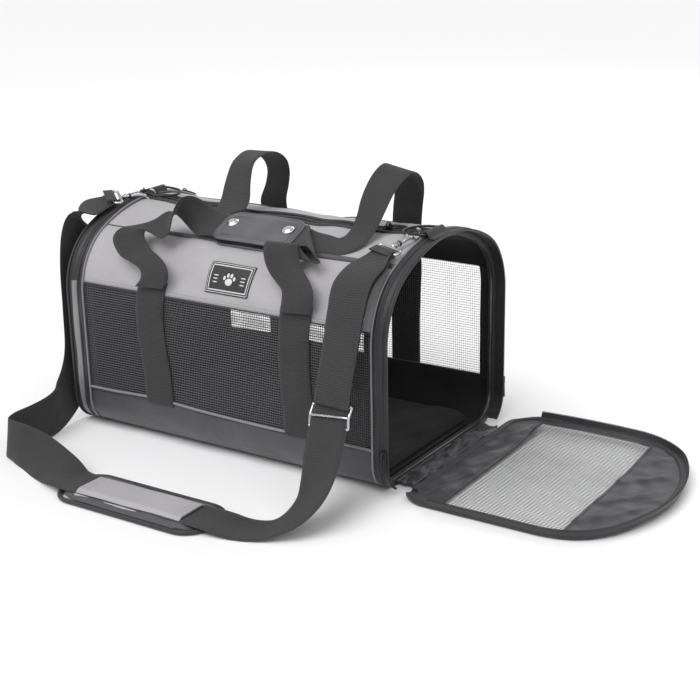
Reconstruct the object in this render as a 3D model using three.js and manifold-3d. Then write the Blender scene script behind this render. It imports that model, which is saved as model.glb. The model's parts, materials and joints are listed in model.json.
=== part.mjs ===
// Soft-sided pet carrier bag: arched shell on two sprung arches, a drop-down end door,
// two webbing handles joined by a snap grip, and a padded shoulder strap on two hooks.
// Millimetres. +X runs along the bag to the open door, -Y is the near side, +Z is up.
// The origin is on the floor under the middle of the shell.

import * as THREE from "three";
import { mergeVertices } from "three/addons/utils/BufferGeometryUtils.js";
import Module from "manifold-3d";

const wasm = await Module();
wasm.setup();

// ---- driving dimensions ----------------------------------------------------------------

const GAP = 0.3;                 // clearance between sewn neighbours
const CLOTH = 2.4;               // thickness of a padded fabric wall
const SHEET = 1.4;               // thickness of netting and tape
const STRAP_W = 49;
const HANDLE_W = 41;
const WEBBING_T = 1.6;

const HALF_WIDTH = 140;          // arch profile, looking along X
const BOTTOM_R = 38;
const SHOULDER_Y = 55;
const SHOULDER_Z = 174;
const SHOULDER_R = HALF_WIDTH - SHOULDER_Y;
const CROWN_Z = 73;
const CROWN_R = 200;
const TOP_Z = CROWN_Z + CROWN_R;
const ROOF_SAG = 6;              // the roof hangs this far below the arches

const BASE_TOP_Z = 56;           // top of the dark base band
const NEAR_NET_TOP_Z = 191;
const FAR_NET_TOP_Z = 200;
const SEAM_Y = 90;               // seams between the upper side panels and the roof

const ARCH_X = 210;              // inner face of each arch binding
const BINDING_W = 7;
const BINDING_DEPTH = 8;
const SHELL_X = ARCH_X - GAP;    // the shell panels end here
const TAPE_X = ARCH_X + BINDING_W + GAP;
const TAPE_W = 12;
const DOOR_ZIP_START_Z = 44;

const HINGE_X = 243;             // door hinge line
const HINGE_Z = 8;
const DOOR_WINDOW_START = 45;    // distances from the hinge
const DOOR_WINDOW_END = 190;

const GRIP_CENTRE = new THREE.Vector3(16, -74, 266);
const GRIP_LENGTH = 112;
const GRIP_WIDTH = 52;
const GRIP_TILT = THREE.MathUtils.degToRad(24);

const RING_WIRE = 3.2;
const RING_BAR_X = 214;          // the rings hang on bars above the arch bindings
const LEFT_CLAW = new THREE.Vector3(-203, -12, 276.6);
const RIGHT_CLAW = new THREE.Vector3(204, -33, 276.6);
const LEFT_EYE = new THREE.Vector3(-247, -68, 276);
const RIGHT_EYE = new THREE.Vector3(184, -92, 261);

const COLOURS = {
  grey: 0xb9b4b8, dark: 0x56565b, black: 0x1d1d1f, webbing: 0x454548, leather: 0x5f5f63,
  steel: 0xc4c4c8, gunmetal: 0x3a3a3d, net: 0x2a2a2c, lining: 0x242427, label: 0x3b3b40,
};

const carrier = new THREE.Group();

// ---- helpers ---------------------------------------------------------------------------

function material(colour, roughness, metalness) {
  return new THREE.MeshStandardMaterial({ color: COLOURS[colour], roughness, metalness });
}

function add(name, geometry, colour, roughness = 0.9, metalness = 0) {
  const mesh = new THREE.Mesh(geometry, material(colour, roughness, metalness));
  mesh.name = name;
  carrier.add(mesh);
  return mesh;
}

function solid(geometry) {
  const bare = geometry.clone();
  bare.deleteAttribute("normal");
  bare.deleteAttribute("uv");
  const merged = mergeVertices(bare, 1e-4);
  const vertProperties = new Float32Array(merged.attributes.position.array);
  const triVerts = new Uint32Array(merged.index.array);
  return new wasm.Manifold(new wasm.Mesh({ numProp: 3, vertProperties, triVerts }));
}

function fromSolid(result) {
  const mesh = result.getMesh();
  const geometry = new THREE.BufferGeometry();
  geometry.setAttribute("position", new THREE.BufferAttribute(new Float32Array(mesh.vertProperties), 3));
  geometry.setIndex(new THREE.BufferAttribute(new Uint32Array(mesh.triVerts), 1));
  return geometry;
}

function join(...geometries) {
  return fromSolid(geometries.map(solid).reduce((whole, next) => whole.add(next)));
}

function cut(geometry, ...tools) {
  return fromSolid(tools.map(solid).reduce((whole, tool) => whole.subtract(tool), solid(geometry)));
}

// Extrude a YZ outline along X. `points` are [y, z] pairs; holes are lists of the same.
function alongX(points, xStart, xEnd, holes = [], bevel = 0) {
  const shape = new THREE.Shape(points.map(([y, z]) => new THREE.Vector2(y, z)));
  for (const hole of holes) {
    shape.holes.push(new THREE.Path(hole.map(([y, z]) => new THREE.Vector2(y, z))));
  }
  const geometry = new THREE.ExtrudeGeometry(shape, {
    depth: xEnd - xStart - 2 * bevel,
    bevelEnabled: bevel > 0,
    bevelThickness: bevel,
    bevelSize: bevel,
    bevelOffset: -bevel,
    bevelSegments: 2,
  });
  geometry.applyMatrix4(new THREE.Matrix4().makeBasis(
    new THREE.Vector3(0, 1, 0), new THREE.Vector3(0, 0, 1), new THREE.Vector3(1, 0, 0)));
  geometry.translate(xStart + bevel, 0, 0);
  return geometry;
}

function arc(y, z, radius, fromDeg, toDeg, steps) {
  const points = [];
  for (let i = 0; i <= steps; i += 1) {
    const angle = THREE.MathUtils.degToRad(fromDeg + (toDeg - fromDeg) * i / steps);
    points.push([y + radius * Math.cos(angle), z + radius * Math.sin(angle)]);
  }
  return points;
}

const JOIN_DEG = THREE.MathUtils.radToDeg(Math.atan2(SHOULDER_Z - CROWN_Z, SHOULDER_Y));

// Right half of the arch profile from the floor centre to the crown, grown by `grow`.
function halfProfile(grow) {
  return [
    ...arc(HALF_WIDTH - BOTTOM_R, BOTTOM_R, BOTTOM_R + grow, -90, 0, 7),
    ...arc(SHOULDER_Y, SHOULDER_Z, SHOULDER_R + grow, 0, JOIN_DEG, 9),
    ...arc(0, CROWN_Z, CROWN_R + grow, JOIN_DEG, 90, 5).slice(1),
  ];
}

// Drop points closer than `step` to the one before, so that a bevel stays clean.
function spaced(points, step) {
  const kept = [points[0]];
  for (const point of points.slice(1)) {
    const last = kept[kept.length - 1];
    if (Math.hypot(point[0] - last[0], point[1] - last[1]) >= step) kept.push(point);
  }
  return kept;
}

function mirrored(points) {
  return points.map(([y, z]) => [-y, z]).reverse();
}

function fullProfile(grow) {
  const half = halfProfile(grow);
  return [...half, ...mirrored(half).slice(1)];
}

// Part of a polyline between two heights, with the crossing points worked out.
function between(points, zLow, zHigh) {
  const kept = [];
  for (let i = 0; i < points.length; i += 1) {
    const [y, z] = points[i];
    if (i > 0) {
      const [y0, z0] = points[i - 1];
      for (const level of [zLow, zHigh]) {
        if ((z0 - level) * (z - level) < 0) {
          const t = (level - z0) / (z - z0);
          kept.push([y0 + (y - y0) * t, level]);
        }
      }
    }
    if (z >= zLow && z <= zHigh) kept.push([y, z]);
  }
  return kept;
}

// A wall of the shell between two heights on one side (side = -1 near, +1 far).
function sideWall(side, zLow, zHigh, thickness, outerGrow) {
  const outer = between(halfProfile(outerGrow), zLow, zHigh);
  const inner = between(halfProfile(outerGrow - thickness), zLow, zHigh);
  const outline = [...outer, ...inner.reverse()];
  return side > 0 ? outline : mirrored(outline);
}

// Webbing: a thin box bent along a curve. Rows are [x, y, z, wx, wy, wz], the second three
// being the direction across the webbing.
// `pinch` narrows an end to that share of the width over its last PINCH_LENGTH, and `square`
// turns the direction across to lie at right angles to the curve.
const PINCH_LENGTH = 34;

function webbing(rows, steps, width, pinch = [1, 1], square = true) {
  const centres = new THREE.CatmullRomCurve3(rows.map((r) => new THREE.Vector3(r[0], r[1], r[2])));
  const across = new THREE.CatmullRomCurve3(rows.map((r) => new THREE.Vector3(r[3], r[4], r[5])));
  const geometry = new THREE.BoxGeometry(1, 1, 1, steps, 1, 1);
  const length = centres.getLength();
  const position = geometry.attributes.position;
  const point = new THREE.Vector3();
  for (let i = 0; i < position.count; i += 1) {
    const t = Math.min(Math.max(position.getX(i) + 0.5, 0), 1);
    const u = centres.getUtoTmapping(t);
    const along = centres.getTangent(u);
    const w = across.getPoint(u);
    if (square) w.addScaledVector(along, -w.dot(along));
    w.normalize();
    const normal = along.clone().cross(w).normalize();
    point.copy(centres.getPoint(u));
    const fromStart = THREE.MathUtils.smoothstep(t * length, 0, PINCH_LENGTH);
    const fromEnd = THREE.MathUtils.smoothstep((1 - t) * length, 0, PINCH_LENGTH);
    const narrow = (pinch[0] + (1 - pinch[0]) * fromStart) * (pinch[1] + (1 - pinch[1]) * fromEnd);
    point.addScaledVector(w, position.getY(i) * width * narrow);
    point.addScaledVector(normal, position.getZ(i) * WEBBING_T);
    position.setXYZ(i, point.x, point.y, point.z);
  }
  return geometry;
}

function box(dx, dy, dz, x, y, z) {
  return new THREE.BoxGeometry(dx, dy, dz).translate(x, y, z);
}

// Place geometry made around the origin with the given axes and centre.
function place(geometry, xAxis, yAxis, zAxis, centre) {
  geometry.applyMatrix4(new THREE.Matrix4().makeBasis(xAxis, yAxis, zAxis));
  geometry.translate(centre.x, centre.y, centre.z);
  return geometry;
}

function roundedRect(width, height, radius, cx = 0, cy = 0, steps = 5) {
  const points = [];
  const corners = [[1, -1, -90], [1, 1, 0], [-1, 1, 90], [-1, -1, 180]];
  for (const [sx, sy, start] of corners) {
    const x = cx + sx * (width / 2 - radius);
    const y = cy + sy * (height / 2 - radius);
    points.push(...arc(x, y, radius, start, start + 90, steps));
  }
  return points;
}

function plate(points, depth, holes = [], bevel = 0) {
  const shape = new THREE.Shape(points.map(([x, y]) => new THREE.Vector2(x, y)));
  for (const hole of holes) {
    shape.holes.push(new THREE.Path(hole.map(([x, y]) => new THREE.Vector2(x, y))));
  }
  const geometry = new THREE.ExtrudeGeometry(shape, {
    depth: depth - 2 * bevel,
    bevelEnabled: bevel > 0,
    bevelThickness: bevel,
    bevelSize: bevel,
    bevelOffset: -bevel,
    bevelSegments: 2,
  });
  geometry.translate(0, 0, bevel);
  return geometry;
}

// ---- shell -----------------------------------------------------------------------------

const BOARD = { length: 404, width: 206, radius: 14, thickness: 3 };
const MAT = { length: 412, width: 228, radius: 22, thickness: 10, bevel: 2.5 };

function buildBase() {
  const outer = between(halfProfile(0), -1, BASE_TOP_Z);
  const inner = between(halfProfile(-CLOTH), -1, BASE_TOP_Z);
  const ring = [...mirrored(outer), ...outer, ...[...inner].reverse(), ...[...mirrored(inner)].reverse()];
  add("base_tray", alongX(ring, -SHELL_X, SHELL_X), "dark");
  const boardZ = CLOTH + GAP;
  const board = plate(roundedRect(BOARD.length, BOARD.width, BOARD.radius), BOARD.thickness);
  add("base_board", board.translate(0, 0, boardZ), "black", 0.8);
  const mat = plate(roundedRect(MAT.length, MAT.width, MAT.radius), MAT.thickness, [], MAT.bevel);
  add("floor_mat", mat.translate(0, 0, boardZ + BOARD.thickness + GAP), "lining", 1);
}

const NET_INSET = 0.5;
const NEAR_SEAM_ROOM = 3.4;      // the near panel stops short of the roof's piping
const FAR_SEAM_ROOM = 0.9;

function buildSides() {
  const netLow = BASE_TOP_Z + GAP;
  const sides = [[-1, "near", NEAR_NET_TOP_Z], [1, "far", FAR_NET_TOP_Z]];
  for (const [side, label, netTop] of sides) {
    const net = sideWall(side, netLow, netTop - GAP, SHEET, -NET_INSET);
    add(`${label}_mesh_panel`, alongX(net, -SHELL_X, SHELL_X), "net", 0.8);
    const seamRoom = side < 0 ? NEAR_SEAM_ROOM : FAR_SEAM_ROOM;
    const upper = sideWall(side, netTop, roofPoint(SEAM_Y)[1] - seamRoom, CLOTH, 0);
    add(`${label}_upper_panel`, alongX(upper, -SHELL_X, SHELL_X), "grey");
  }
}

// The roof is one flat arc through the two seams, ROOF_SAG below the arches at its middle.
function roofPoint(y, grow = 0) {
  const seamZ = CROWN_Z + Math.sqrt(CROWN_R ** 2 - SEAM_Y ** 2) - 1;
  const rise = TOP_Z - ROOF_SAG - seamZ;
  const radius = (SEAM_Y ** 2 + rise ** 2) / (2 * rise);
  const centreZ = TOP_Z - ROOF_SAG - radius;
  const angle = Math.asin(y / radius);
  return [(radius + grow) * Math.sin(angle), centreZ + (radius + grow) * Math.cos(angle)];
}

function roofStrip(yFrom, yTo, top, bottom, steps) {
  const upper = [];
  const lower = [];
  for (let i = 0; i <= steps; i += 1) {
    const y = yFrom + (yTo - yFrom) * i / steps;
    upper.push(roofPoint(y, top));
    lower.push(roofPoint(y, bottom));
  }
  return [...lower, ...upper.reverse()];
}

const ZIP_HALF = 14;
const COIL_HALF = 2.6;
const COIL_RISE = 1.4;
const PIPING_R = 2.2;
const SEAM_GAP = 2.8;            // between the middle of the piping and the roof's panel

function buildRoof() {
  const seam = SEAM_Y - SEAM_GAP;
  const inner = ZIP_HALF + GAP;
  add("near_top_panel", alongX(roofStrip(-seam, -inner, 0, -CLOTH, 6), -SHELL_X, SHELL_X), "grey");
  add("far_top_panel", alongX(roofStrip(inner, seam, 0, -CLOTH, 6), -SHELL_X, SHELL_X), "grey");
  const [pipeY, pipeZ] = roofPoint(-SEAM_Y);
  const cord = arc(pipeY, pipeZ - 0.6, PIPING_R, 0, 324, 9);
  add("near_top_piping", alongX(cord, -SHELL_X, SHELL_X), "dark");
  const tape = [
    ...roofStrip(-ZIP_HALF, ZIP_HALF, -0.4, -0.4 - SHEET, 4).slice(0, 5),
    roofPoint(ZIP_HALF, -0.4), roofPoint(COIL_HALF, -0.4), roofPoint(COIL_HALF, COIL_RISE),
    roofPoint(-COIL_HALF, COIL_RISE), roofPoint(-COIL_HALF, -0.4), roofPoint(-ZIP_HALF, -0.4),
  ];
  add("top_zip_tape", alongX(tape, -SHELL_X, SHELL_X), "dark", 0.7);
}

const WIRE_R = 1.5;
const WIRE_DEPTH = 5.2;          // of the wire's middle inside the arch profile
const BINDING_SPINE = 3;
const BINDING_WALL = 1.6;

// Each arch is a spring-wire hoop held in a folded binding that opens inward.
function buildArch(side, label) {
  const middle = side * (ARCH_X + BINDING_W / 2);
  const wire = alongX(fullProfile(WIRE_R - WIRE_DEPTH), middle - WIRE_R, middle + WIRE_R,
    [fullProfile(-WIRE_R - WIRE_DEPTH).reverse()]);
  add(`${label}_arch_wire`, wire, "steel", 0.4, 1);
  const start = side > 0 ? ARCH_X : -ARCH_X - BINDING_W;
  const hoop = (x, width, depth) => alongX(fullProfile(0), x, x + width, [fullProfile(-depth).reverse()]);
  const binding = join(
    hoop(start, BINDING_W, BINDING_SPINE),
    hoop(start, BINDING_WALL, BINDING_DEPTH),
    hoop(start + BINDING_W - BINDING_WALL, BINDING_WALL, BINDING_DEPTH));
  add(`${label}_arch_binding`, binding, "dark");
}

// An open strip following the arch above a height, used for zip tapes and gussets.
function archStrip(zLow, outerGrow, thickness) {
  const outer = between(halfProfile(outerGrow), zLow, 400);
  const inner = between(halfProfile(outerGrow - thickness), zLow, 400);
  return [...outer, ...mirrored(outer).slice(1), ...mirrored(inner).reverse(), ...inner.reverse().slice(1)];
}

const END_PANEL_T = 12;
const END_PANEL_BEVEL = 5;
const SILL = { width: 190, thickness: 2, low: 0.2, hingeGap: 5 };

function buildEnds() {
  add("right_zip_tape", alongX(archStrip(DOOR_ZIP_START_Z, 0, SHEET), TAPE_X, TAPE_X + TAPE_W), "dark", 0.7);
  const leftTape = alongX(archStrip(NEAR_NET_TOP_Z, 0, SHEET), -TAPE_X - TAPE_W, -TAPE_X);
  add("left_zip_tape", leftTape, "dark", 0.7);
  const outer = between(halfProfile(0), -1, NEAR_NET_TOP_Z - GAP);
  const inner = between(halfProfile(-CLOTH), -1, NEAR_NET_TOP_Z - GAP);
  const gusset = [...mirrored(outer), ...outer, ...[...inner].reverse(), ...[...mirrored(inner)].reverse()];
  add("left_gusset", alongX(gusset, -TAPE_X - TAPE_W, -TAPE_X), "grey");
  const panelX = -TAPE_X - TAPE_W - GAP;
  const splitZ = NEAR_NET_TOP_Z - 2;
  const lower = between(halfProfile(0), -1, splitZ - GAP / 2);
  const upper = between(halfProfile(0), splitZ + GAP / 2, 400);
  const lowerLoop = [...lower, ...mirrored(lower)];
  add("left_lower_panel", alongX(lowerLoop, panelX - END_PANEL_T, panelX, [], END_PANEL_BEVEL), "dark");
  const upperLoop = [...upper, ...mirrored(upper).slice(1)];
  const loop = spaced(upperLoop, 6);
  add("left_upper_panel", alongX(loop, panelX - END_PANEL_T, panelX, [], END_PANEL_BEVEL), "dark");
  const sillEnd = HINGE_X - SILL.hingeGap;
  const sillZ = SILL.low + SILL.thickness / 2;
  const sill = box(sillEnd - TAPE_X, SILL.width, SILL.thickness, (sillEnd + TAPE_X) / 2, 0, sillZ);
  add("right_door_sill", sill, "dark");
}

// ---- handle anchors, label, ring tabs ---------------------------------------------------

const ANCHORS = [
  ["near_left_anchor", -1, -98], ["near_right_anchor", -1, 111],
  ["far_left_anchor", 1, -112], ["far_right_anchor", 1, 88],
];
const ANCHOR_LOW_Z = BASE_TOP_Z + 1;
const ANCHOR_HIGH_Z = 204;

function buildAnchors() {
  for (const [name, side, x] of ANCHORS) {
    const outline = sideWall(side, ANCHOR_LOW_Z, ANCHOR_HIGH_Z, WEBBING_T, GAP + WEBBING_T);
    add(name, alongX(outline, x - HANDLE_W / 2, x + HANDLE_W / 2), "webbing");
  }
}

const LABEL = { lowZ: 202, highZ: 236, startX: -21, endX: 41, thickness: 1 };

function buildLabel() {
  const outline = sideWall(-1, LABEL.lowZ, LABEL.highZ, LABEL.thickness, GAP + LABEL.thickness);
  add("label_patch", alongX(outline, LABEL.startX, LABEL.endX), "label", 0.6);
}

const TAB = { length: 10, width: 38, above: 4, bore: 2.8 };

// A webbing tab folded over the straight bar of a ring, standing on the arch.
function ringTab(side, y) {
  const floor = TOP_Z + GAP;
  const barZ = side > 0 ? RIGHT_CLAW.z : LEFT_CLAW.z;
  const height = barZ + TAB.above - floor;
  const block = box(TAB.length, TAB.width, height, side * RING_BAR_X, y, floor + height / 2);
  const bore = new THREE.CylinderGeometry(TAB.bore, TAB.bore, 2 * TAB.width, 12);
  bore.translate(side * RING_BAR_X, y, barZ);
  return cut(block, bore);
}

// ---- door ------------------------------------------------------------------------------

// Door outline in (distance from hinge, y): the arch profile above the hinge height.
function doorHalf(grow, start) {
  return between(halfProfile(grow), HINGE_Z + start, 400).map(([y, z]) => [z - HINGE_Z + HINGE_X, y]);
}

function doorOutline(grow, start) {
  const half = doorHalf(grow, start);
  return [...half, ...half.map(([x, y]) => [x, -y]).reverse().slice(1)];
}

const DOOR_T = 2.4;
const DOOR_LOW_Z = 2.2;
const DOOR_EDGE = 7;
const DOOR_SEAM = 5;             // the window's seam inside the edge binding
const DOOR_TAPE_RISE = 9;
const NET_RISE = 0.5;

function buildDoor() {
  const windowEdge = (grow) => {
    const half = doorHalf(-DOOR_EDGE - DOOR_SEAM + grow, 0).filter(([x]) => (
      x > HINGE_X + DOOR_WINDOW_START - grow && x < HINGE_X + DOOR_WINDOW_END + grow));
    const first = half[0][1];
    const last = half[half.length - 1][1];
    return [
      [HINGE_X + DOOR_WINDOW_START - grow, first], ...half, [HINGE_X + DOOR_WINDOW_END + grow, last],
      [HINGE_X + DOOR_WINDOW_END + grow, -last], ...half.map(([x, y]) => [x, -y]).reverse(),
      [HINGE_X + DOOR_WINDOW_START - grow, -first],
    ];
  };
  const panel = plate(doorOutline(-DOOR_EDGE, 1), DOOR_T, [windowEdge(0).reverse()]);
  add("door_panel", panel.translate(0, 0, DOOR_LOW_Z), "dark");
  const net = plate(windowEdge(-GAP), SHEET);
  add("door_mesh", net.translate(0, 0, DOOR_LOW_Z + NET_RISE), "net", 0.8);
  const ring = (outGrow, inGrow, start, low, high) => {
    const outer = doorHalf(outGrow, start);
    const inner = doorHalf(inGrow, start);
    const loop = [...outer, ...outer.map(([x, y]) => [x, -y]).reverse().slice(1),
      ...inner.map(([x, y]) => [x, -y]), ...inner.reverse().slice(1)];
    return plate(loop, high - low).translate(0, 0, low);
  };
  const bindingTop = DOOR_LOW_Z + 4;
  const tapeStart = DOOR_ZIP_START_Z - HINGE_Z;
  add("door_binding", ring(0, -DOOR_EDGE + GAP, 1, DOOR_LOW_Z - 1.6, bindingTop), "dark");
  const tape = ring(0, -SHEET, tapeStart, bindingTop + GAP, bindingTop + DOOR_TAPE_RISE);
  add("door_zip_tape", tape, "dark", 0.7);
}

// ---- zip sliders -----------------------------------------------------------------------

// `run` is the direction of travel and `out` points away from the cloth. A bridge on the
// slider's back holds the end bar of the pull.
const PULL_AXIS_OUT = 5.3;       // height of the pull's end bar above the tape
const PULL = { length: 26, width: 6.6, thickness: 1.6 };
const SLIDER = { width: 9, length: 11, height: 4 };
const BRIDGE = { width: 2, length: 6.6, low: 3.4, bar: 1 };
const SLIDER_RISE = 1.2;         // of the top sliders above the tape's outer face

function slider(centre, run, out) {
  const side = run.clone().cross(out);
  const body = box(SLIDER.width, SLIDER.length, SLIDER.height, 0, 0, SLIDER.height / 2);
  const barZ = BRIDGE.low + 3.6;
  const bridge = box(BRIDGE.width, BRIDGE.length, BRIDGE.bar, 0, 0, barZ);
  const postY = BRIDGE.length / 2 - 0.4;
  const posts = [postY, -postY].map((y) => box(BRIDGE.width, 0.8, 4, 0, y, BRIDGE.low + 2));
  return place(join(body, bridge, ...posts), side, run, out, centre);
}

function pull(centre, run, out) {
  const side = run.clone().cross(out);
  const { length, width, thickness } = PULL;
  const outline = roundedRect(width, length, width / 3, 0, thickness / 2 - length / 2, 3);
  const eye = roundedRect(2.8, 3.4, 0.5, 0, -2.5, 1);
  const tab = plate(outline, thickness, [eye.reverse()]).translate(0, 0, PULL_AXIS_OUT - thickness / 2);
  return place(tab, side, run, out, centre);
}

const X = new THREE.Vector3(1, 0, 0);
const Y = new THREE.Vector3(0, 1, 0);
const Z = new THREE.Vector3(0, 0, 1);

const TOP_SLIDER_X = 148;
const LEFT_SLIDER_LEAN = THREE.MathUtils.degToRad(24);

function buildSliders() {
  const doorX = TAPE_X + TAPE_W - 4;
  for (const [label, side] of [["near", -1], ["far", 1]]) {
    const centre = new THREE.Vector3(doorX, side * (HALF_WIDTH + 0.5), DOOR_ZIP_START_Z + 8);
    const out = Y.clone().multiplyScalar(side);
    add(`${label}_door_slider`, slider(centre, Z, out), "gunmetal", 0.4, 0.9);
    add(`${label}_door_pull`, pull(centre, Z, out), "black", 0.5, 0.6);
  }
  const topCentre = new THREE.Vector3(TOP_SLIDER_X, 0, TOP_Z - ROOF_SAG + COIL_RISE + 0.4);
  add("top_slider", slider(topCentre, X.clone().negate(), Z), "gunmetal", 0.4, 0.9);
  add("top_pull", pull(topCentre, X.clone().negate(), Z), "black", 0.5, 0.6);
  const lean = LEFT_SLIDER_LEAN;
  const out = new THREE.Vector3(0, Math.sin(lean), Math.cos(lean));
  const run = new THREE.Vector3(0, -Math.cos(lean), Math.sin(lean));
  const coilX = -TAPE_X - 0.6 * TAPE_W;
  const centre = out.clone().multiplyScalar(CROWN_R + SLIDER_RISE).add(new THREE.Vector3(coilX, 0, CROWN_Z));
  add("left_slider", slider(centre, run, out), "gunmetal", 0.4, 0.9);
  add("left_pull", pull(centre, run, out), "black", 0.5, 0.6);
}

// ---- rings and hooks ---------------------------------------------------------------------

// A ring of wire: a straight bar along Y in its tab, legs running inboard, a round bow.
const RING_INNER = 40;
const RING_LENGTH = 34;

function buildRing(side, claw, name) {
  const outline = (grow) => {
    const half = RING_INNER / 2 + grow;
    const bow = arc(RING_LENGTH - RING_INNER / 2, 0, half, -90, 90, 8);
    return [[-grow, -half], ...bow, [-grow, half]].map(([a, b]) => [-side * a, b]);
  };
  const outer = outline(RING_WIRE);
  const hole = outline(0);
  if (side > 0) hole.reverse();
  else outer.reverse();
  const ring = plate(outer, RING_WIRE, [hole]);
  const centreY = claw.y + (RING_INNER + RING_WIRE) / 2;
  ring.translate(side * (RING_BAR_X - RING_WIRE / 2), centreY, claw.z - RING_WIRE / 2);
  add(name, ring, "black", 0.35, 0.9);
  return centreY;
}

// Local axes of a hook: `a` from the claw to the strap, `n` across the claw.
function hookAxes(claw, eye) {
  const a = eye.clone().sub(claw).normalize();
  const n = X.clone().addScaledVector(a, -X.dot(a)).normalize();
  const b = n.clone().cross(a);
  return { a, b, n };
}

const HOOK_T = 4.2;
const CLAW_OUT = 7.6;
const CLAW_IN = 4.4;
const SHANK_END = 30;
const SHANK_W = 6.4;
const GATE_HINGE = 12;           // distance of the gate's pivot from the claw's centre
const POST_LENGTH = 7;
const LOOP_LENGTH = 13;
const LOOP_END = SHANK_END + GAP + POST_LENGTH + LOOP_LENGTH - 1;
const LOOP_WIDTH = 37;
const LOOP_T = 3.6;
const LOOP_WIRE = 3.3;
const GATE_B = -5.6;             // the gate lies this far off the hook's middle line
const GATE_W = 2;

function buildHook(label, claw, eye, across) {
  const { a, b, n } = hookAxes(claw, eye);
  const disc = (r, h) => new THREE.CylinderGeometry(r, r, h, 20).rotateX(Math.PI / 2);
  const shank = box(SHANK_END - 6, SHANK_W, HOOK_T, (SHANK_END + 6) / 2, 0, 0);
  const shoulder = box(6, 5.4, HOOK_T, GATE_HINGE + 3.6, -4.7, 0);
  const mouthEnd = GATE_HINGE + 0.6;
  const mouth = box(mouthEnd, 6.1, 2 * HOOK_T, mouthEnd / 2, GATE_B - 0.05, 0);
  const hook = join(cut(join(disc(CLAW_OUT, HOOK_T), shank), disc(CLAW_IN, 2 * HOOK_T), mouth), shoulder);
  add(`${label}_hook`, place(hook, a, b, n, claw), "steel", 0.3, 1);
  const gate = box(GATE_HINGE - GAP, GATE_W, HOOK_T - 1, (GATE_HINGE + 0.5) / 2, GATE_B, 0);
  add(`${label}_hook_gate`, place(gate, a, b, n, claw), "gunmetal", 0.35, 1);
  const w = across.clone().addScaledVector(a, -across.dot(a)).normalize();
  const t = w.clone().cross(a);
  const post = new THREE.CylinderGeometry(3, 3, POST_LENGTH, 12).rotateZ(Math.PI / 2);
  post.translate(SHANK_END + GAP + POST_LENGTH / 2, 0, 0);
  const slot = roundedRect(LOOP_LENGTH - 2 * LOOP_WIRE, LOOP_WIDTH - 2 * LOOP_WIRE, 1.5, 0, 0, 2).reverse();
  const loop = plate(roundedRect(LOOP_LENGTH, LOOP_WIDTH, 3, 0, 0, 2), LOOP_T, [slot]);
  loop.rotateX(Math.PI / 2).translate(LOOP_END - LOOP_LENGTH / 2, LOOP_T / 2, 0);
  add(`${label}_hook_eye`, place(join(post, loop), a, t, w, claw), "gunmetal", 0.35, 1);
  return claw.clone().addScaledVector(a, LOOP_END);
}

// ---- handles and grip --------------------------------------------------------------------

const TILT_V = new THREE.Vector3(0, Math.cos(GRIP_TILT), Math.sin(GRIP_TILT));
const TILT_N = new THREE.Vector3(0, -Math.sin(GRIP_TILT), Math.cos(GRIP_TILT));

function onGrip(x, layer) {
  const p = GRIP_CENTRE.clone().addScaledVector(TILT_N, layer);
  return [x, p.y, p.z];
}

const GRIP_END = GRIP_LENGTH / 2;
const V = [TILT_V.x, TILT_V.y, TILT_V.z];

function gripRun(layer, across) {
  const stops = [-GRIP_END - 2, -GRIP_END + 10, -28, 0, 28, GRIP_END - 10, GRIP_END + 2];
  return stops.map((x) => [...onGrip(GRIP_CENTRE.x + x, layer), ...across]);
}

function nearHandleRows() {
  return [
    [-99, -143.6, 200, 1, 0, 0.06], [-89, -144.2, 212, 1, 0, 0.1], [-90, -143.6, 225, 0.98, 0, 0.19],
    [-107, -138, 232, 0.96, 0.14, 0.24], [-126, -131.5, 236, 0.93, 0.27, 0.24],
    [-140, -125.5, 245, 0.93, 0.31, 0.16], [-144.5, -122, 254, 0.96, 0.24, 0.12],
    [-137, -118.5, 262, 0.99, 0.02, 0.1], [-119, -115, 261, 0.9, -0.35, -0.15],
    [-107, -110, 263, 0.72, -0.6, -0.34], [-98, -103, 271, 0.62, -0.65, -0.42],
    [-93, -96, 280, 0.52, -0.8, 0.2], [-83, -90, 284, 0.28, -0.42, 0.86],
    [-68, -84, 277.5, -0.1, 0.35, 0.93], [-58, -79, 271.5, -0.12, 0.82, 0.55],
    ...gripRun(1.8, V),
    [84, -80, 270, -0.25, 0.9, 0.3], [102, -97, 271, -0.5, 0.82, 0.05],
    [112, -102, 260.5, -0.62, 0.74, 0.1], [115, -108, 253.5, -0.8, 0.55, -0.1],
    [103, -112, 253, -0.95, 0.3, 0], [86.5, -111, 259.5, -1, 0.1, 0], [73.5, -108, 267.5, -1, 0, 0],
    [76.5, -116, 266.5, -0.97, -0.23, -0.1], [80.5, -121, 253, -0.96, -0.23, -0.13],
    [89, -126, 241.5, -0.97, -0.14, -0.18], [103, -134, 234, -0.98, -0.08, -0.2],
    [114, -140, 225.5, -1, 0, -0.1], [116, -143.8, 214, -1, 0, -0.08], [113, -143.6, 200, -1, 0, -0.08],
  ];
}

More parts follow.
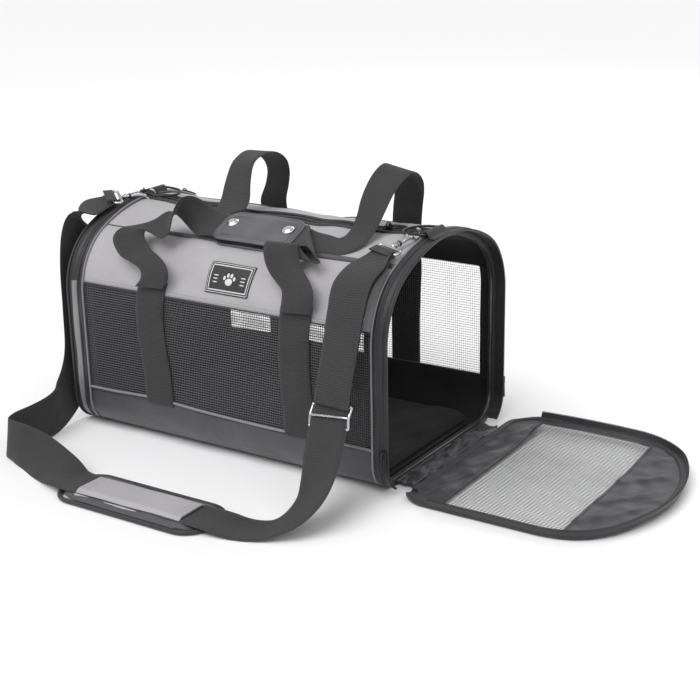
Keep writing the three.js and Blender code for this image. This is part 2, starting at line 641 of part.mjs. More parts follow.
function farHandleRows() {
  return [
    [-112, 143.6, 200, 1, 0, 0], [-111, 135, 226, 1, 0, 0], [-102, 117, 254, 1, 0, 0.1],
    [-84, 102, 280, 1, -0.15, 0.1], [-71, 88, 303, 1, -0.2, 0.1], [-66, 71, 322, 1, -0.15, 0.1],
    [-71, 50, 333, 1, -0.1, 0.05], [-75, 22, 325, 1, -0.2, 0.15], [-69, 0, 305, 1, -0.1, 0.1],
    [-57, -24, 285, 1, 0.1, 0.1], [-54, -44, 275, 0.95, 0.3, 0.15], [-58, -60, 270, 0.6, 0.75, 0.3],
    ...gripRun(-1.8, V),
    [89, -73, 262, -0.2, 0.93, 0.34], [111, -67, 260, -0.5, 0.84, 0.3],
    [126, -65, 260, -0.62, 0.76, 0.2], [135, -47, 268, -0.83, 0.52, 0.12],
    [134, -26, 281, -0.9, 0.4, 0.15], [129, -2, 297.5, -0.97, 0.2, 0.08],
    [125, 20, 311, -1, 0.14, 0.1], [124, 41, 322, -1, 0.07, 0.15], [126, 61, 328, -1, 0, 0.17],
    [125, 82, 316, -1, 0.05, 0.15], [116, 101, 291, -1, 0, -0.12], [106, 114, 267, -1, 0, -0.08],
    [95, 130, 236, -1, 0, -0.07], [88, 143.6, 200, -1, 0, 0],
  ];
}

const GRIP = { radius: 16, inside: 3.2, skin: 2.4 };
const SNAP = { x: 40, up: 4, topR: 5.5, baseR: 7.6, height: 2.6 };

function gripPlate(layerLow, layerHigh) {
  const outline = roundedRect(GRIP_LENGTH, GRIP_WIDTH, GRIP.radius);
  const sheet = plate(outline, layerHigh - layerLow).translate(0, 0, layerLow);
  return place(sheet, X, TILT_V, TILT_N, GRIP_CENTRE);
}

function buildHandles() {
  add("near_handle", webbing(nearHandleRows(), 110, HANDLE_W, [1, 1], false), "webbing");
  add("far_handle", webbing(farHandleRows(), 100, HANDLE_W, [1, 1], false), "webbing");
  const outside = GRIP.inside + GRIP.skin;
  add("grip_back", gripPlate(-outside, -GRIP.inside), "leather", 0.6);
  add("grip_flap", gripPlate(GRIP.inside, outside), "leather", 0.6);
  for (const [label, x] of [["left", -SNAP.x], ["right", SNAP.x]]) {
    const cap = new THREE.CylinderGeometry(SNAP.topR, SNAP.baseR, SNAP.height, 20).rotateX(Math.PI / 2);
    cap.translate(x, SNAP.up, outside + GAP + SNAP.height / 2);
    add(`${label}_snap_cap`, place(cap, X, TILT_V, TILT_N, GRIP_CENTRE), "steel", 0.2, 1);
  }
}

// ---- shoulder strap ------------------------------------------------------------------------

const PAD_CENTRE = new THREE.Vector3(1, -294, 0);

function strapRows(leftEnd, rightEnd) {
  return [
    [...leftEnd, 0.66, -0.52, -0.2], [-254, -82, 262, 0.3, -0.85, -0.3],
    [-257, -94, 243, 0, -0.97, -0.15], [-258, -102, 200, 0, -1, 0],
    [-258, -104, 140, 0, -1, 0], [-257, -108, 88, 0, -1, 0.1], [-254, -122, 54, -0.1, -0.8, 0.6],
    [-249, -146, 32, -0.2, -0.2, 0.95], [-236, -180, 26, -0.2, 0.15, 0.95],
    [-231, -220, 25.5, -0.1, 0.1, 1], [-235, -252, 25.5, 0.1, 0, 1], [-229, -268, 25.5, 0.2, 0, 0.97],
    [-208, -273, 25, 0.1, 0.2, 0.95], [-178, -275, 20, 0, 0.55, 0.83], [-145, -281, 13.5, 0, 0.85, 0.5],
    [-119, -288, 11, 0, 0.98, 0.18], [-106, -292, 8.9, 0, 1, 0.03], [-90, -293.5, 8.2, 0, 1, 0],
    [-50, -294, 8.2, 0, 1, 0],
    [1, -294, 8.2, 0, 1, 0], [52, -294, 8.2, 0, 1, 0], [97, -294, 8.2, 0, 1, 0],
    [114, -292, 6.5, 0, 1, 0], [132, -288, 2.8, -0.05, 1, 0], [150, -282, 1.8, -0.15, 1, 0],
    [168, -273, 5, -0.3, 0.95, 0], [186, -258, 17, -0.55, 0.83, 0.1], [194, -238, 34, -0.8, 0.6, 0.05],
    [189, -214, 54, -0.95, 0.3, 0], [181, -192, 76, -1, 0.1, 0], [176, -173, 102, -1, 0.15, 0],
    [177, -162, 140, -1, 0.17, 0], [181, -155, 180, -1, 0.15, -0.1], [183, -147, 212, -1, 0.1, -0.12],
    [183, -128, 240, -1, 0, -0.12], [...rightEnd, -1, 0, -0.12],
  ];
}

function tailRows(rightEnd) {
  return [
    [...rightEnd, -1, 0, -0.12], [183, -131, 244.5, -1, 0, -0.12], [184, -151, 214, -1, 0.1, -0.12],
    [182, -159, 180, -1, 0.15, -0.1], [178, -166, 140, -1, 0.17, 0], [177.5, -174, 112, -1, 0.15, 0],
  ];
}

// The tri-glide frame: the strap passes in front of its outer bars and behind its middle bar.
const ADJUSTER_Z = 100;
const ADJUSTER_FIRST_ROW = 29;
const ADJUSTER = { side: 2.6, height: 24, depth: 8.6, barDepth: 2.4, barOut: 3.1, barUp: 10.5 };

function buildAdjuster(rows) {
  const curve = new THREE.CatmullRomCurve3(rows.map((r) => new THREE.Vector3(r[0], r[1], r[2])));
  let u = ADJUSTER_FIRST_ROW / (rows.length - 1);
  while (curve.getPoint(u).z < ADJUSTER_Z && u < 1) u += 0.0005;
  const up = curve.getTangent(u);
  const across = new THREE.Vector3(1, -0.15, 0).addScaledVector(up, -up.dot(new THREE.Vector3(1, -0.15, 0)));
  across.normalize();
  const front = across.clone().cross(up);
  const edge = STRAP_W / 2 + 2.2;
  const { side, height, depth, barDepth, barOut, barUp } = ADJUSTER;
  const barW = 2 * edge + side;
  const sides = [edge, -edge].map((x) => box(side, height, depth, x, 0, 0));
  const outerBars = [barUp, -barUp].map((y) => box(barW, 3, barDepth, 0, y, -barOut));
  const frame = join(...sides, ...outerBars, box(barW, 4, barDepth, 0, 0, barOut));
  add("strap_adjuster", place(frame, across, up, front, curve.getPoint(u)), "steel", 0.35, 1);
}

const PAD = { length: 208, width: 74, radius: 30, thickness: 6, bevel: 1.5, low: 0.5 };
const SLEEVE = { length: 148, width: 52, radius: 3, thickness: 1.6, low: 9.9 };

function buildStrap(leftEnd, rightEnd) {
  const rows = strapRows(
    [leftEnd.x - 1.2, leftEnd.y - 1.6, leftEnd.z - 3.4],
    [rightEnd.x - 0.4, rightEnd.y - 2.6, rightEnd.z - 3.6]);
  add("shoulder_strap", webbing(rows, 150, STRAP_W, [0.6, 0.6]), "webbing");
  const tailTop = [rightEnd.x - 0.8, rightEnd.y - 3.4, rightEnd.z + 0.2];
  add("strap_tail", webbing(tailRows(tailTop), 26, STRAP_W, [0.6, 1]), "webbing");
  const pad = plate(roundedRect(PAD.length, PAD.width, PAD.radius), PAD.thickness, [], PAD.bevel);
  add("strap_pad", pad.translate(PAD_CENTRE.x, PAD_CENTRE.y, PAD.low), "dark");
  const sleeve = plate(roundedRect(SLEEVE.length, SLEEVE.width, SLEEVE.radius), SLEEVE.thickness);
  add("pad_sleeve", sleeve.translate(PAD_CENTRE.x, PAD_CENTRE.y, SLEEVE.low), "grey");
  buildAdjuster(rows);
}

// ---- assembly ------------------------------------------------------------------------------

buildBase();
buildSides();
buildRoof();
buildArch(-1, "left");
buildArch(1, "right");
buildEnds();
buildAnchors();
buildLabel();
buildDoor();
buildSliders();
const leftRingY = buildRing(-1, LEFT_CLAW, "left_ring");
const rightRingY = buildRing(1, RIGHT_CLAW, "right_ring");
add("left_ring_tab", ringTab(-1, leftRingY), "webbing");
add("right_ring_tab", ringTab(1, rightRingY), "webbing");
const leftEnd = buildHook("left", LEFT_CLAW, LEFT_EYE, new THREE.Vector3(0.6, -0.6, -0.2));
const rightEnd = buildHook("right", RIGHT_CLAW, RIGHT_EYE, X);
buildHandles();
buildStrap(leftEnd, rightEnd);

export default carrier;
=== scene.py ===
"""A soft-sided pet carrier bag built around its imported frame.

Geometry is worked out in millimetres in the part's own frame (+X towards the open door, -Y the near
side, +Z up) and turned into metres when a piece is made.
"""

import json
import math

import bmesh
import bpy
import numpy as np
from mathutils import Matrix, Vector


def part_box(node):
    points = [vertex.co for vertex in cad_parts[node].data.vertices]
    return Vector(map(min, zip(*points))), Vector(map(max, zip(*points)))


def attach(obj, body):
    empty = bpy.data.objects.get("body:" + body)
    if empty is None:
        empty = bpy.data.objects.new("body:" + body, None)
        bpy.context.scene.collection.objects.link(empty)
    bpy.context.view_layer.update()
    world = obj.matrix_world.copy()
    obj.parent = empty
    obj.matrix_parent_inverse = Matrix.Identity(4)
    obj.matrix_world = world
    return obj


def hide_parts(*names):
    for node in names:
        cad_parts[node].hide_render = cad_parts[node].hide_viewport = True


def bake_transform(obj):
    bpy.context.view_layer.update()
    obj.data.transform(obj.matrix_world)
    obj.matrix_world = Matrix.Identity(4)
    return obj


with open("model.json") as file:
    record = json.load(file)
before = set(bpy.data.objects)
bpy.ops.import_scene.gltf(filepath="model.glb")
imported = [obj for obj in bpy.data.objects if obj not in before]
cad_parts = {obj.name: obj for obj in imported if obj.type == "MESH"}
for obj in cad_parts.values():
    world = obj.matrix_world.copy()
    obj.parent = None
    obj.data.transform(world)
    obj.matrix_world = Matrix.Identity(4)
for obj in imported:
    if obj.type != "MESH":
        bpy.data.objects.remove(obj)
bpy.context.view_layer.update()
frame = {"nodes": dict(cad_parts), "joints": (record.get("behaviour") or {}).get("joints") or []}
NODES = frame["nodes"]
MM = 0.001
TAU = math.tau


def cad_box(node):
    low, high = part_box(node)
    return np.array(low) / MM, np.array(high) / MM


# ---- driving sizes, in millimetres, from the frame ----------------------------------------

ARCH_LOW, ARCH_HIGH = cad_box("right_arch_binding")
HALF_WIDTH = float(ARCH_HIGH[1])
TOP_Z = float(ARCH_HIGH[2])
ARCH_X = float(ARCH_LOW[0])          # inner face of each arch binding
TAPE_LOW, TAPE_HIGH = cad_box("right_zip_tape")
TAPE_X = float(TAPE_LOW[0])
TAPE_W = float(TAPE_HIGH[0] - TAPE_LOW[0])
BASE_Z = float(cad_box("base_tray")[1][2])
NEAR_NET_TOP = float(cad_box("near_mesh_panel")[1][2])
FAR_NET_TOP = float(cad_box("far_mesh_panel")[1][2])
BOTTOM_R = 38.0                      # the arch outline's corner, shoulder and crown radii
SHOULDER_R = 85.0
CROWN_R = 200.0
SHOULDER_Y = HALF_WIDTH - SHOULDER_R
SHOULDER_Z = 174.0
CROWN_Z = TOP_Z - CROWN_R
SEAM_Y = 88.0                        # seams between the side panels and the roof
ZIP_HALF = 14.0                      # half width of the roof's zip tape
WEBBING_W = 49.0                     # the shoulder strap, and the narrower handles
HANDLE_W = 41.0
WEBBING_T = 1.7
HINGE_X = 243.0
HINGE_Z = 8.0


# ---- numbers to shapes ---------------------------------------------------------------------

def smooth(value, low, high):
    t = np.clip((np.asarray(value, float) - low) / (high - low), 0, 1)
    return t * t * (3 - 2 * t)


def unit(vectors):
    length = np.linalg.norm(vectors, axis=-1, keepdims=True)
    return vectors / np.maximum(length, 1e-9)


def ripple(u, v, wavelength, seed, waves=7):
    """Soft waves in all directions, about one unit high, the same every run."""
    draw = np.random.default_rng(seed)
    total = 0.0
    for _ in range(waves):
        angle = draw.uniform(0, TAU)
        length = wavelength * draw.uniform(0.6, 1.7)
        phase = draw.uniform(0, TAU)
        total = total + np.sin(TAU * (u * math.cos(angle) + v * math.sin(angle)) / length + phase)
    return total / math.sqrt(waves)


def fold(u, v, start, end, width, height):
    """A ridge along the line from start to end that fades towards its ends."""
    start, end = np.array(start, float), np.array(end, float)
    along = end - start
    length = np.linalg.norm(along)
    along = along / length
    du, dv = u - start[0], v - start[1]
    t = (du * along[0] + dv * along[1]) / length
    across = du * along[1] - dv * along[0]
    fade = np.clip(t, 0, 1) * np.clip(1 - t, 0, 1) * 4
    return height * fade * np.exp(-(across / width) ** 2)


def catmull(rows, count):
    """Points spaced evenly along a smooth curve through the rows."""
    rows = np.array(rows, float)
    padded = np.vstack([2 * rows[0] - rows[1], rows, 2 * rows[-1] - rows[-2]])
    pieces = []
    steps = np.linspace(0, 1, 24, endpoint=False)[:, None]
    for i in range(1, len(padded) - 2):
        a, b, c, d = padded[i - 1:i + 3]
        pieces.append(0.5 * (2 * b + (c - a) * steps + (2 * a - 5 * b + 4 * c - d) * steps ** 2
                             + (3 * b - a - 3 * c + d) * steps ** 3))
    curve = np.vstack(pieces + [rows[-1:]])
    gaps = np.linalg.norm(np.diff(curve[:, :3], axis=0), axis=1)
    walked = np.concatenate([[0], np.cumsum(gaps)])
    wanted = np.linspace(0, walked[-1], count)
    return np.column_stack([np.interp(wanted, walked, curve[:, k]) for k in range(curve.shape[1])])


def relax_rows(values, rounds):
    values = values.copy()
    for _ in range(rounds):
        values[1:-1] = (values[:-2] + 2 * values[1:-1] + values[2:]) / 4
    return values


def lengths_along(grid, axis):
    step = np.linalg.norm(np.diff(grid, axis=axis), axis=-1)
    pad = [(0, 0), (0, 0)]
    pad[axis] = (1, 0)
    return np.cumsum(np.pad(step, pad), axis=axis)


class Shape:
    """Collects closed solids, with UVs in metres, and makes one Blender object of them."""

    def __init__(self):
        self.verts, self.faces, self.uvs, self.slots = [], [], [], []
        self.count = 0

    def add(self, verts, faces, uvs=None, slots=None):
        verts = np.asarray(verts, float).reshape(-1, 3)
        if uvs is None:
            uvs = np.zeros((len(verts), 2))
        self.verts.append(verts)
        self.uvs.append(np.asarray(uvs, float).reshape(-1, 2) * MM)
        self.faces.extend([tuple(int(k) + self.count for k in face) for face in faces])
        self.slots.extend([0] * len(faces) if slots is None else [int(k) for k in slots])
        self.count += len(verts)
        return self

    def slab(self, middle, normal, half, inner=0, outer=0):
        """A sheet of thickness 2 * half about a grid of points. `inner` is its back's material."""
        rows, columns = middle.shape[:2]
        half = np.broadcast_to(np.asarray(half, float), middle.shape[:2])[..., None]
        top, bottom = middle + normal * half, middle - normal * half
        left = middle[:, :1] - unit(middle[:, 1:2] - middle[:, :1]) * half[:, :1]
        right = middle[:, -1:] + unit(middle[:, -1:] - middle[:, -2:-1]) * half[:, -1:]
        ring = np.concatenate([left, top, right, bottom[:, ::-1]], axis=1)
        across = lengths_along(middle, 1)
        along = lengths_along(middle, 0)
        v = np.concatenate([across[:, :1], across, across[:, -1:], across[:, ::-1]], axis=1)
        u = np.concatenate([along[:, :1], along, along[:, -1:], along[:, ::-1]], axis=1)
        around = ring.shape[1]
        index = np.arange(rows * around).reshape(rows, around)
        after = np.roll(index, -1, axis=1)
        faces = np.stack([index[:-1], index[1:], after[1:], after[:-1]], axis=-1).reshape(-1, 4)
        slot_row = np.full(around, outer)
        slot_row[columns + 1:] = inner
        slots = np.tile(slot_row, rows - 1)
        faces, slots = faces.tolist(), slots.tolist()
        for i in (0, rows - 1):
            tops = index[i, 1:columns + 1]
            bottoms = index[i, columns + 2:][::-1]
            for j in range(columns - 1):
                faces.append((tops[j], tops[j + 1], bottoms[j + 1], bottoms[j]))
            faces.append((index[i, 0], tops[0], bottoms[0]))
            faces.append((index[i, columns + 1], bottoms[-1], tops[-1]))
            slots.extend([outer] * (columns + 1))
        return self.add(ring, faces, np.stack([u, v], axis=-1), slots)

    def sweep(self, path, side, up, outline, closed=False, slot=0):
        """Carries a closed outline of (side, up) points along a path."""
        path, side, up = (np.asarray(a, float) for a in (path, side, up))
        outline = np.asarray(outline, float)
        ring = (path[:, None] + side[:, None] * outline[None, :, :1] + up[:, None] * outline[None, :, 1:])
        rows, around = ring.shape[:2]
        walked = np.concatenate([[0], np.cumsum(np.linalg.norm(np.diff(path, axis=0), axis=1))])
        girth = np.linalg.norm(outline - np.roll(outline, 1, axis=0), axis=1).cumsum()
        uvs = np.stack(np.broadcast_arrays(walked[:, None], girth[None]), axis=-1)
        index = np.arange(rows * around).reshape(rows, around)
        if closed:
            index = np.vstack([index, index[:1]])
        after = np.roll(index, -1, axis=1)
        faces = np.stack([index[:-1], index[1:], after[1:], after[:-1]], axis=-1).reshape(-1, 4).tolist()
        if not closed:
            faces.append(index[0][::-1])
            faces.append(index[-1])
        return self.add(ring, faces, uvs, [slot] * len(faces))

    def cord(self, path, radius, sides=10, up=None, closed=False, squash=1.0, slot=0):
        """A round cord along a path."""
        path = np.asarray(path, float)
        side, up = frames_along(path, up, closed)
        turn = np.linspace(0, TAU, sides, endpoint=False)
        outline = np.column_stack([np.cos(turn) * radius, np.sin(turn) * radius * squash])
        return self.sweep(path, side, up, outline, closed, slot)

    def scatter(self, verts, faces, origins, axes, slot=0):
        """Copies a small solid to each origin, turned to that origin's three axes."""
        verts = np.asarray(verts, float)
        placed = origins[:, None] + np.einsum("vk,nkc->nvc", verts, axes)
        base = np.array([list(f) + [-1] * (4 - len(f)) for f in faces])
        shift = (np.arange(len(origins)) * len(verts))[:, None, None]
        many = base[None] + np.where(base >= 0, 1, 0)[None] * shift
        many = [[k for k in face if k >= 0] for face in many.reshape(-1, 4).tolist()]
        uvs = np.tile(verts[:, :2], (len(origins), 1))
        return self.add(placed, many, uvs, [slot] * len(many))

    def make(self, name, body, slot, materials, replaces=(), flat=False):
        mesh = bpy.data.meshes.new(name)
        verts = np.vstack(self.verts) * MM
        uvs = np.vstack(self.uvs)
        mesh.from_pydata(verts.tolist(), [], self.faces)
        layer = mesh.uv_layers.new(name="UVMap")
        loops = np.zeros(len(mesh.loops), int)
        mesh.loops.foreach_get("vertex_index", loops)
        layer.data.foreach_set("uv", uvs[loops].ravel())
        mesh.polygons.foreach_set("material_index", self.slots)
        work = bmesh.new()
        work.from_mesh(mesh)
        bmesh.ops.recalc_face_normals(work, faces=work.faces)
        work.to_mesh(mesh)
        work.free()
        obj = bpy.data.objects.new(name, mesh)
        bpy.context.scene.collection.objects.link(obj)
        for material in materials:
            mesh.materials.append(material)
        if not flat:
            mesh.shade_smooth()
            mesh.set_sharp_from_angle(angle=math.radians(50))
        if body:
            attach(obj, body)
        if replaces:
            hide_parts(*replaces)
        return obj


def frames_along(path, up=None, closed=False):
    """Side and up directions along a path, kept steady, or leaning towards `up` where it is given."""
    if closed:
        tangent = unit(np.roll(path, -1, axis=0) - np.roll(path, 1, axis=0))
    else:
        tangent = unit(np.gradient(path, axis=0))
    if up is None:
        first = np.array([0.0, 0.0, 1.0])
        if abs(tangent[0] @ first) > 0.9:
            first = np.array([0.0, 1.0, 0.0])
        ups = [unit(first - tangent[0] * (tangent[0] @ first))]
        for t in tangent[1:]:
            ups.append(unit(ups[-1] - t * (ups[-1] @ t)))
        up = np.array(ups)
    else:
        up = np.broadcast_to(np.asarray(up, float), path.shape)
        up = unit(up - tangent * np.sum(up * tangent, axis=1, keepdims=True))
    return np.cross(tangent, up), up


def stitch_solid(length, width, height):
    """A short thread lying along its first axis."""
    ring = [(0.32, 0.5, 0.0), (0.32, 0.0, 0.6), (0.32, -0.5, 0.0), (0.32, 0.0, -0.2)]
    verts = [(-0.5, 0, -0.15)] + [(-x, y, z) for x, y, z in ring] + ring + [(0.5, 0, -0.15)]
    faces = [(0, 1 + k, 1 + (k + 1) % 4) for k in range(4)]
    faces += [(1 + k, 5 + k, 5 + (k + 1) % 4, 1 + (k + 1) % 4) for k in range(4)]
    faces += [(9, 5 + (k + 1) % 4, 5 + k) for k in range(4)]
    return np.array(verts) * (length, width, height), faces


def stitches(shape, path, up, pitch=3.4, length=2.5, width=0.55, slot=0, across=False):
    """A row of stitches, or of zip teeth when `across`, along a path."""
    path = np.asarray(path, float)
    walked = np.concatenate([[0], np.cumsum(np.linalg.norm(np.diff(path, axis=0), axis=1))])
    count = max(2, int(walked[-1] / pitch))
    at = (np.arange(count) + 0.5) * walked[-1] / count
    points = np.column_stack([np.interp(at, walked, path[:, k]) for k in range(3)])
    ups = np.broadcast_to(np.asarray(up, float), path.shape)
    ups = unit(np.column_stack([np.interp(at, walked, ups[:, k]) for k in range(3)]))
    tangent = unit(np.gradient(points, axis=0))
    side = unit(np.cross(ups, tangent))
    ups = np.cross(tangent, side)
    first, second = (side, tangent) if across else (tangent, side)
    verts, faces = stitch_solid(length, width, width)
    return shape.scatter(verts, faces, points, np.stack([first, second, ups], axis=1), slot)


def rounded_box(dx, dy, dz, bevel):
    """Vertices and faces of a box with cut-off edges, about the origin."""
    work = bmesh.new()
    bmesh.ops.create_cube(work, size=1.0)
    bmesh.ops.scale(work, vec=(dx, dy, dz), verts=work.verts)
    bmesh.ops.bevel(work, geom=work.edges[:], offset=bevel, segments=2, affect="EDGES", profile=0.6)
    work.verts.ensure_lookup_table()
    verts = np.array([v.co for v in work.verts])
    faces = [[v.index for v in f.verts] for f in work.faces]
    work.free()
    return verts, faces


# ---- materials -----------------------------------------------------------------------------

class Graph:
    """A procedural material built up from nodes."""

    def __init__(self, name, roughness=0.8, metallic=0.0, sheen=0.0):
        self.material = bpy.data.materials.new(name)
        self.material.use_nodes = True
        self.tree = self.material.node_tree
        self.shader = self.tree.nodes["Principled BSDF"]
        self.shader.inputs["Roughness"].default_value = roughness
        self.shader.inputs["Metallic"].default_value = metallic
        self.shader.inputs["Sheen Weight"].default_value = sheen
        self.shader.inputs["Sheen Roughness"].default_value = 0.45
        self.coordinates = self.tree.nodes.new("ShaderNodeTexCoord")

    def feed(self, socket, value):
        if isinstance(value, bpy.types.NodeSocket):
            self.tree.links.new(value, socket)
        else:
            socket.default_value = value

    def math(self, operation, a, b=0.0, c=0.0):
        node = self.tree.nodes.new("ShaderNodeMath")
        node.operation = operation
        for socket, value in zip(node.inputs, (a, b, c)):
            self.feed(socket, value)
        return node.outputs[0]

    def split(self, vector):
        node = self.tree.nodes.new("ShaderNodeSeparateXYZ")
        self.feed(node.inputs[0], vector)
        return node.outputs

    def noise(self, scale, detail=2.0, where=None, distortion=0.0):
        """Noise whose features are about 1 / scale metres across."""
        node = self.tree.nodes.new("ShaderNodeTexNoise")
        self.feed(node.inputs["Vector"], where or self.coordinates.outputs["Object"])
        node.inputs["Scale"].default_value = scale
        node.inputs["Detail"].default_value = detail
        node.inputs["Distortion"].default_value = distortion
        return node.outputs["Fac"]

    def cells(self, scale, where=None):
        node = self.tree.nodes.new("ShaderNodeTexVoronoi")
        self.feed(node.inputs["Vector"], where or self.coordinates.outputs["Object"])
        node.inputs["Scale"].default_value = scale
        return node.outputs["Distance"]

    def spread(self, value, low, high, out_low, out_high):
        node = self.tree.nodes.new("ShaderNodeMapRange")
        for socket, given in zip(node.inputs, (value, low, high, out_low, out_high)):
            self.feed(socket, given)
        return node.outputs[0]

    def mix(self, factor, a, b):
        node = self.tree.nodes.new("ShaderNodeMix")
        node.data_type = "RGBA"
        self.feed(node.inputs[0], factor)
        for socket, value in zip(node.inputs[6:8], (a, b)):
            self.feed(socket, (*value, 1.0) if isinstance(value, tuple) else value)
        return node.outputs[2]

    def bump(self, height, distance_mm, strength=1.0, under=None):
        node = self.tree.nodes.new("ShaderNodeBump")
        node.inputs["Strength"].default_value = strength
        node.inputs["Distance"].default_value = distance_mm * MM
        self.feed(node.inputs["Height"], height)
        if under is not None:
            self.feed(node.inputs["Normal"], under)
        return node.outputs[0]

    def wave(self, coordinate, pitch_mm, phase=0.0):
        """A wave between 0 and 1 along a coordinate given in metres."""
        turned = self.math("MULTIPLY_ADD", coordinate, TAU / (pitch_mm * MM), phase)
        return self.math("MULTIPLY_ADD", self.math("SINE", turned), 0.5, 0.5)

    def finish(self, colour, normal=None, roughness=None):
        self.feed(self.shader.inputs["Base Color"], (*colour, 1.0) if isinstance(colour, tuple) else colour)
        if normal is not None:
            self.feed(self.shader.inputs["Normal"], normal)
        if roughness is not None:
            self.feed(self.shader.inputs["Roughness"], roughness)
        return self.material


def shade(colour, factor):
    return tuple(c * factor for c in colour)


def cloth_material(name, colour, weave_mm=0.9, roughness=0.62, sheen=0.25, by_uv=True, crease_mm=0.5,
                   variation=0.1):
    """Plain-woven cloth: crossing threads, faint blotches and small soft creases."""
    g = Graph(name, roughness, sheen=sheen)
    where = g.coordinates.outputs["UV" if by_uv else "Object"]
    u, v, w = g.split(where)
    across = v if by_uv else g.math("ADD", v, w)
    warp, weft = g.wave(u, weave_mm), g.wave(across, weave_mm, 1.3)
    over = g.math("MULTIPLY", g.math("SUBTRACT", warp, 0.5), g.math("SUBTRACT", weft, 0.5))
    weave = g.math("MULTIPLY_ADD", over, 2.0, 0.5)
    blotch = g.noise(14, 3)
    slub = g.noise(900, 1)
    tint = g.spread(blotch, 0.3, 0.7, 1 - variation, 1 + variation)
    tint = g.math("MULTIPLY", tint, g.spread(weave, 0, 1, 0.93, 1.05))
    tint = g.math("MULTIPLY", tint, g.spread(slub, 0.3, 0.7, 0.96, 1.03))
    base = g.mix(g.spread(tint, 0.7, 1.25, 0, 1), shade(colour, 0.7), shade(colour, 1.25))
    folds = g.bump(g.noise(11, 2, distortion=1.4), crease_mm * 14, 0.5)
    creases = g.bump(g.noise(42, 3, distortion=0.6), crease_mm * 3, 0.35, folds)
    normal = g.bump(weave, 0.12, 0.5, creases)
    return g.finish(base, normal, g.spread(blotch, 0.3, 0.7, roughness - 0.05, roughness + 0.06))


def webbing_material(name, colour):
    """Heavy ribbed webbing: ribs across its length, a fine twill, and fuzz along the edges."""
    g = Graph(name, 0.8, sheen=0.12)
    u, v, _ = g.split(g.coordinates.outputs["UV"])
    waver = g.math("MULTIPLY", g.noise(60, 1), 0.0006)
    ribs = g.wave(g.math("ADD", u, waver), 2.8)
    picks = g.wave(g.math("MULTIPLY_ADD", u, 0.5, v), 1.9)
    weave = g.math("MULTIPLY_ADD", picks, 0.35, g.math("MULTIPLY", ribs, 0.65))
    edge = g.math("ABSOLUTE", g.math("SUBTRACT", v, WEBBING_W * MM / 2))
    selvage = g.spread(edge, (WEBBING_W / 2 - 3.2) * MM, (WEBBING_W / 2 - 2.0) * MM, 0, 1)
    fuzz = g.noise(500, 2)
    tint = g.math("MULTIPLY", g.spread(weave, 0, 1, 0.55, 1.4), g.spread(fuzz, 0.3, 0.7, 0.85, 1.15))
    tint = g.math("MULTIPLY", tint, g.spread(g.noise(22, 2), 0.3, 0.7, 0.9, 1.08))
    tint = g.math("MULTIPLY", tint, g.spread(selvage, 0, 1, 1.0, 1.12))
    base = g.mix(g.spread(tint, 0.5, 1.5, 0, 1), shade(colour, 0.5), shade(colour, 1.5))
    return g.finish(base, g.bump(weave, 0.45, 0.9))


def leather_material(name, colour):
    g = Graph(name, 0.5)
    grain = g.math("MULTIPLY_ADD", g.cells(900), 0.7, g.math("MULTIPLY", g.noise(420, 3), 0.6))
    wear = g.noise(35, 4)
    base = g.mix(g.spread(wear, 0.35, 0.7, 0, 1), shade(colour, 0.86), shade(colour, 1.16))
    return g.finish(base, g.bump(grain, 0.25, 0.55), g.spread(wear, 0.3, 0.7, 0.42, 0.58))


def metal_material(name, colour, roughness=0.25):
    g = Graph(name, roughness, metallic=1.0)
    scuffs = g.noise(300, 3)
    base = g.mix(g.spread(g.noise(60, 2), 0.3, 0.7, 0, 1), shade(colour, 0.85), shade(colour, 1.1))
    shine = g.spread(scuffs, 0.3, 0.75, roughness - 0.06, roughness + 0.16)
    return g.finish(base, g.bump(scuffs, 0.03, 0.4), shine)


def enamel_material(name, colour, roughness=0.38):
    """Black-plated metal or moulded nylon with lightly rubbed high spots."""
    g = Graph(name, roughness)
    rub = g.noise(180, 4)
    base = g.mix(g.spread(rub, 0.5, 0.75, 0, 1), shade(colour, 0.9), shade(colour, 1.9))
    shine = g.spread(rub, 0.3, 0.7, roughness - 0.1, roughness + 0.14)
    return g.finish(base, g.bump(g.noise(700, 2), 0.04, 0.4), shine)


def plush_material(name, colour):
    """Short pile: clumped fibres, crushed patches and a strong sheen."""
    g = Graph(name, 0.97, sheen=0.06)
    tufts = g.math("MULTIPLY", g.noise(170, 2), 0.5)
    pile = g.math("MULTIPLY_ADD", g.noise(650, 3, distortion=1.5), 0.6, tufts)
    crushed = g.noise(24, 3, distortion=1.0)
    base = g.mix(g.spread(crushed, 0.35, 0.68, 0, 1), shade(colour, 0.7), shade(colour, 1.7))
    return g.finish(base, g.bump(pile, 1.2, 0.8))


def thread_material(name, colour, roughness=0.6):
    g = Graph(name, roughness, sheen=0.2)
    twist = g.noise(1500, 1)
    base = g.mix(g.spread(twist, 0.3, 0.7, 0, 1), shade(colour, 0.8), shade(colour, 1.2))
    return g.finish(base, g.bump(twist, 0.08, 0.5))


GREY = (0.40, 0.385, 0.40)
DARK = (0.066, 0.066, 0.074)
CHARCOAL = (0.029, 0.029, 0.031)
BLACK = (0.012, 0.012, 0.013)
PALE = (0.62, 0.62, 0.63)

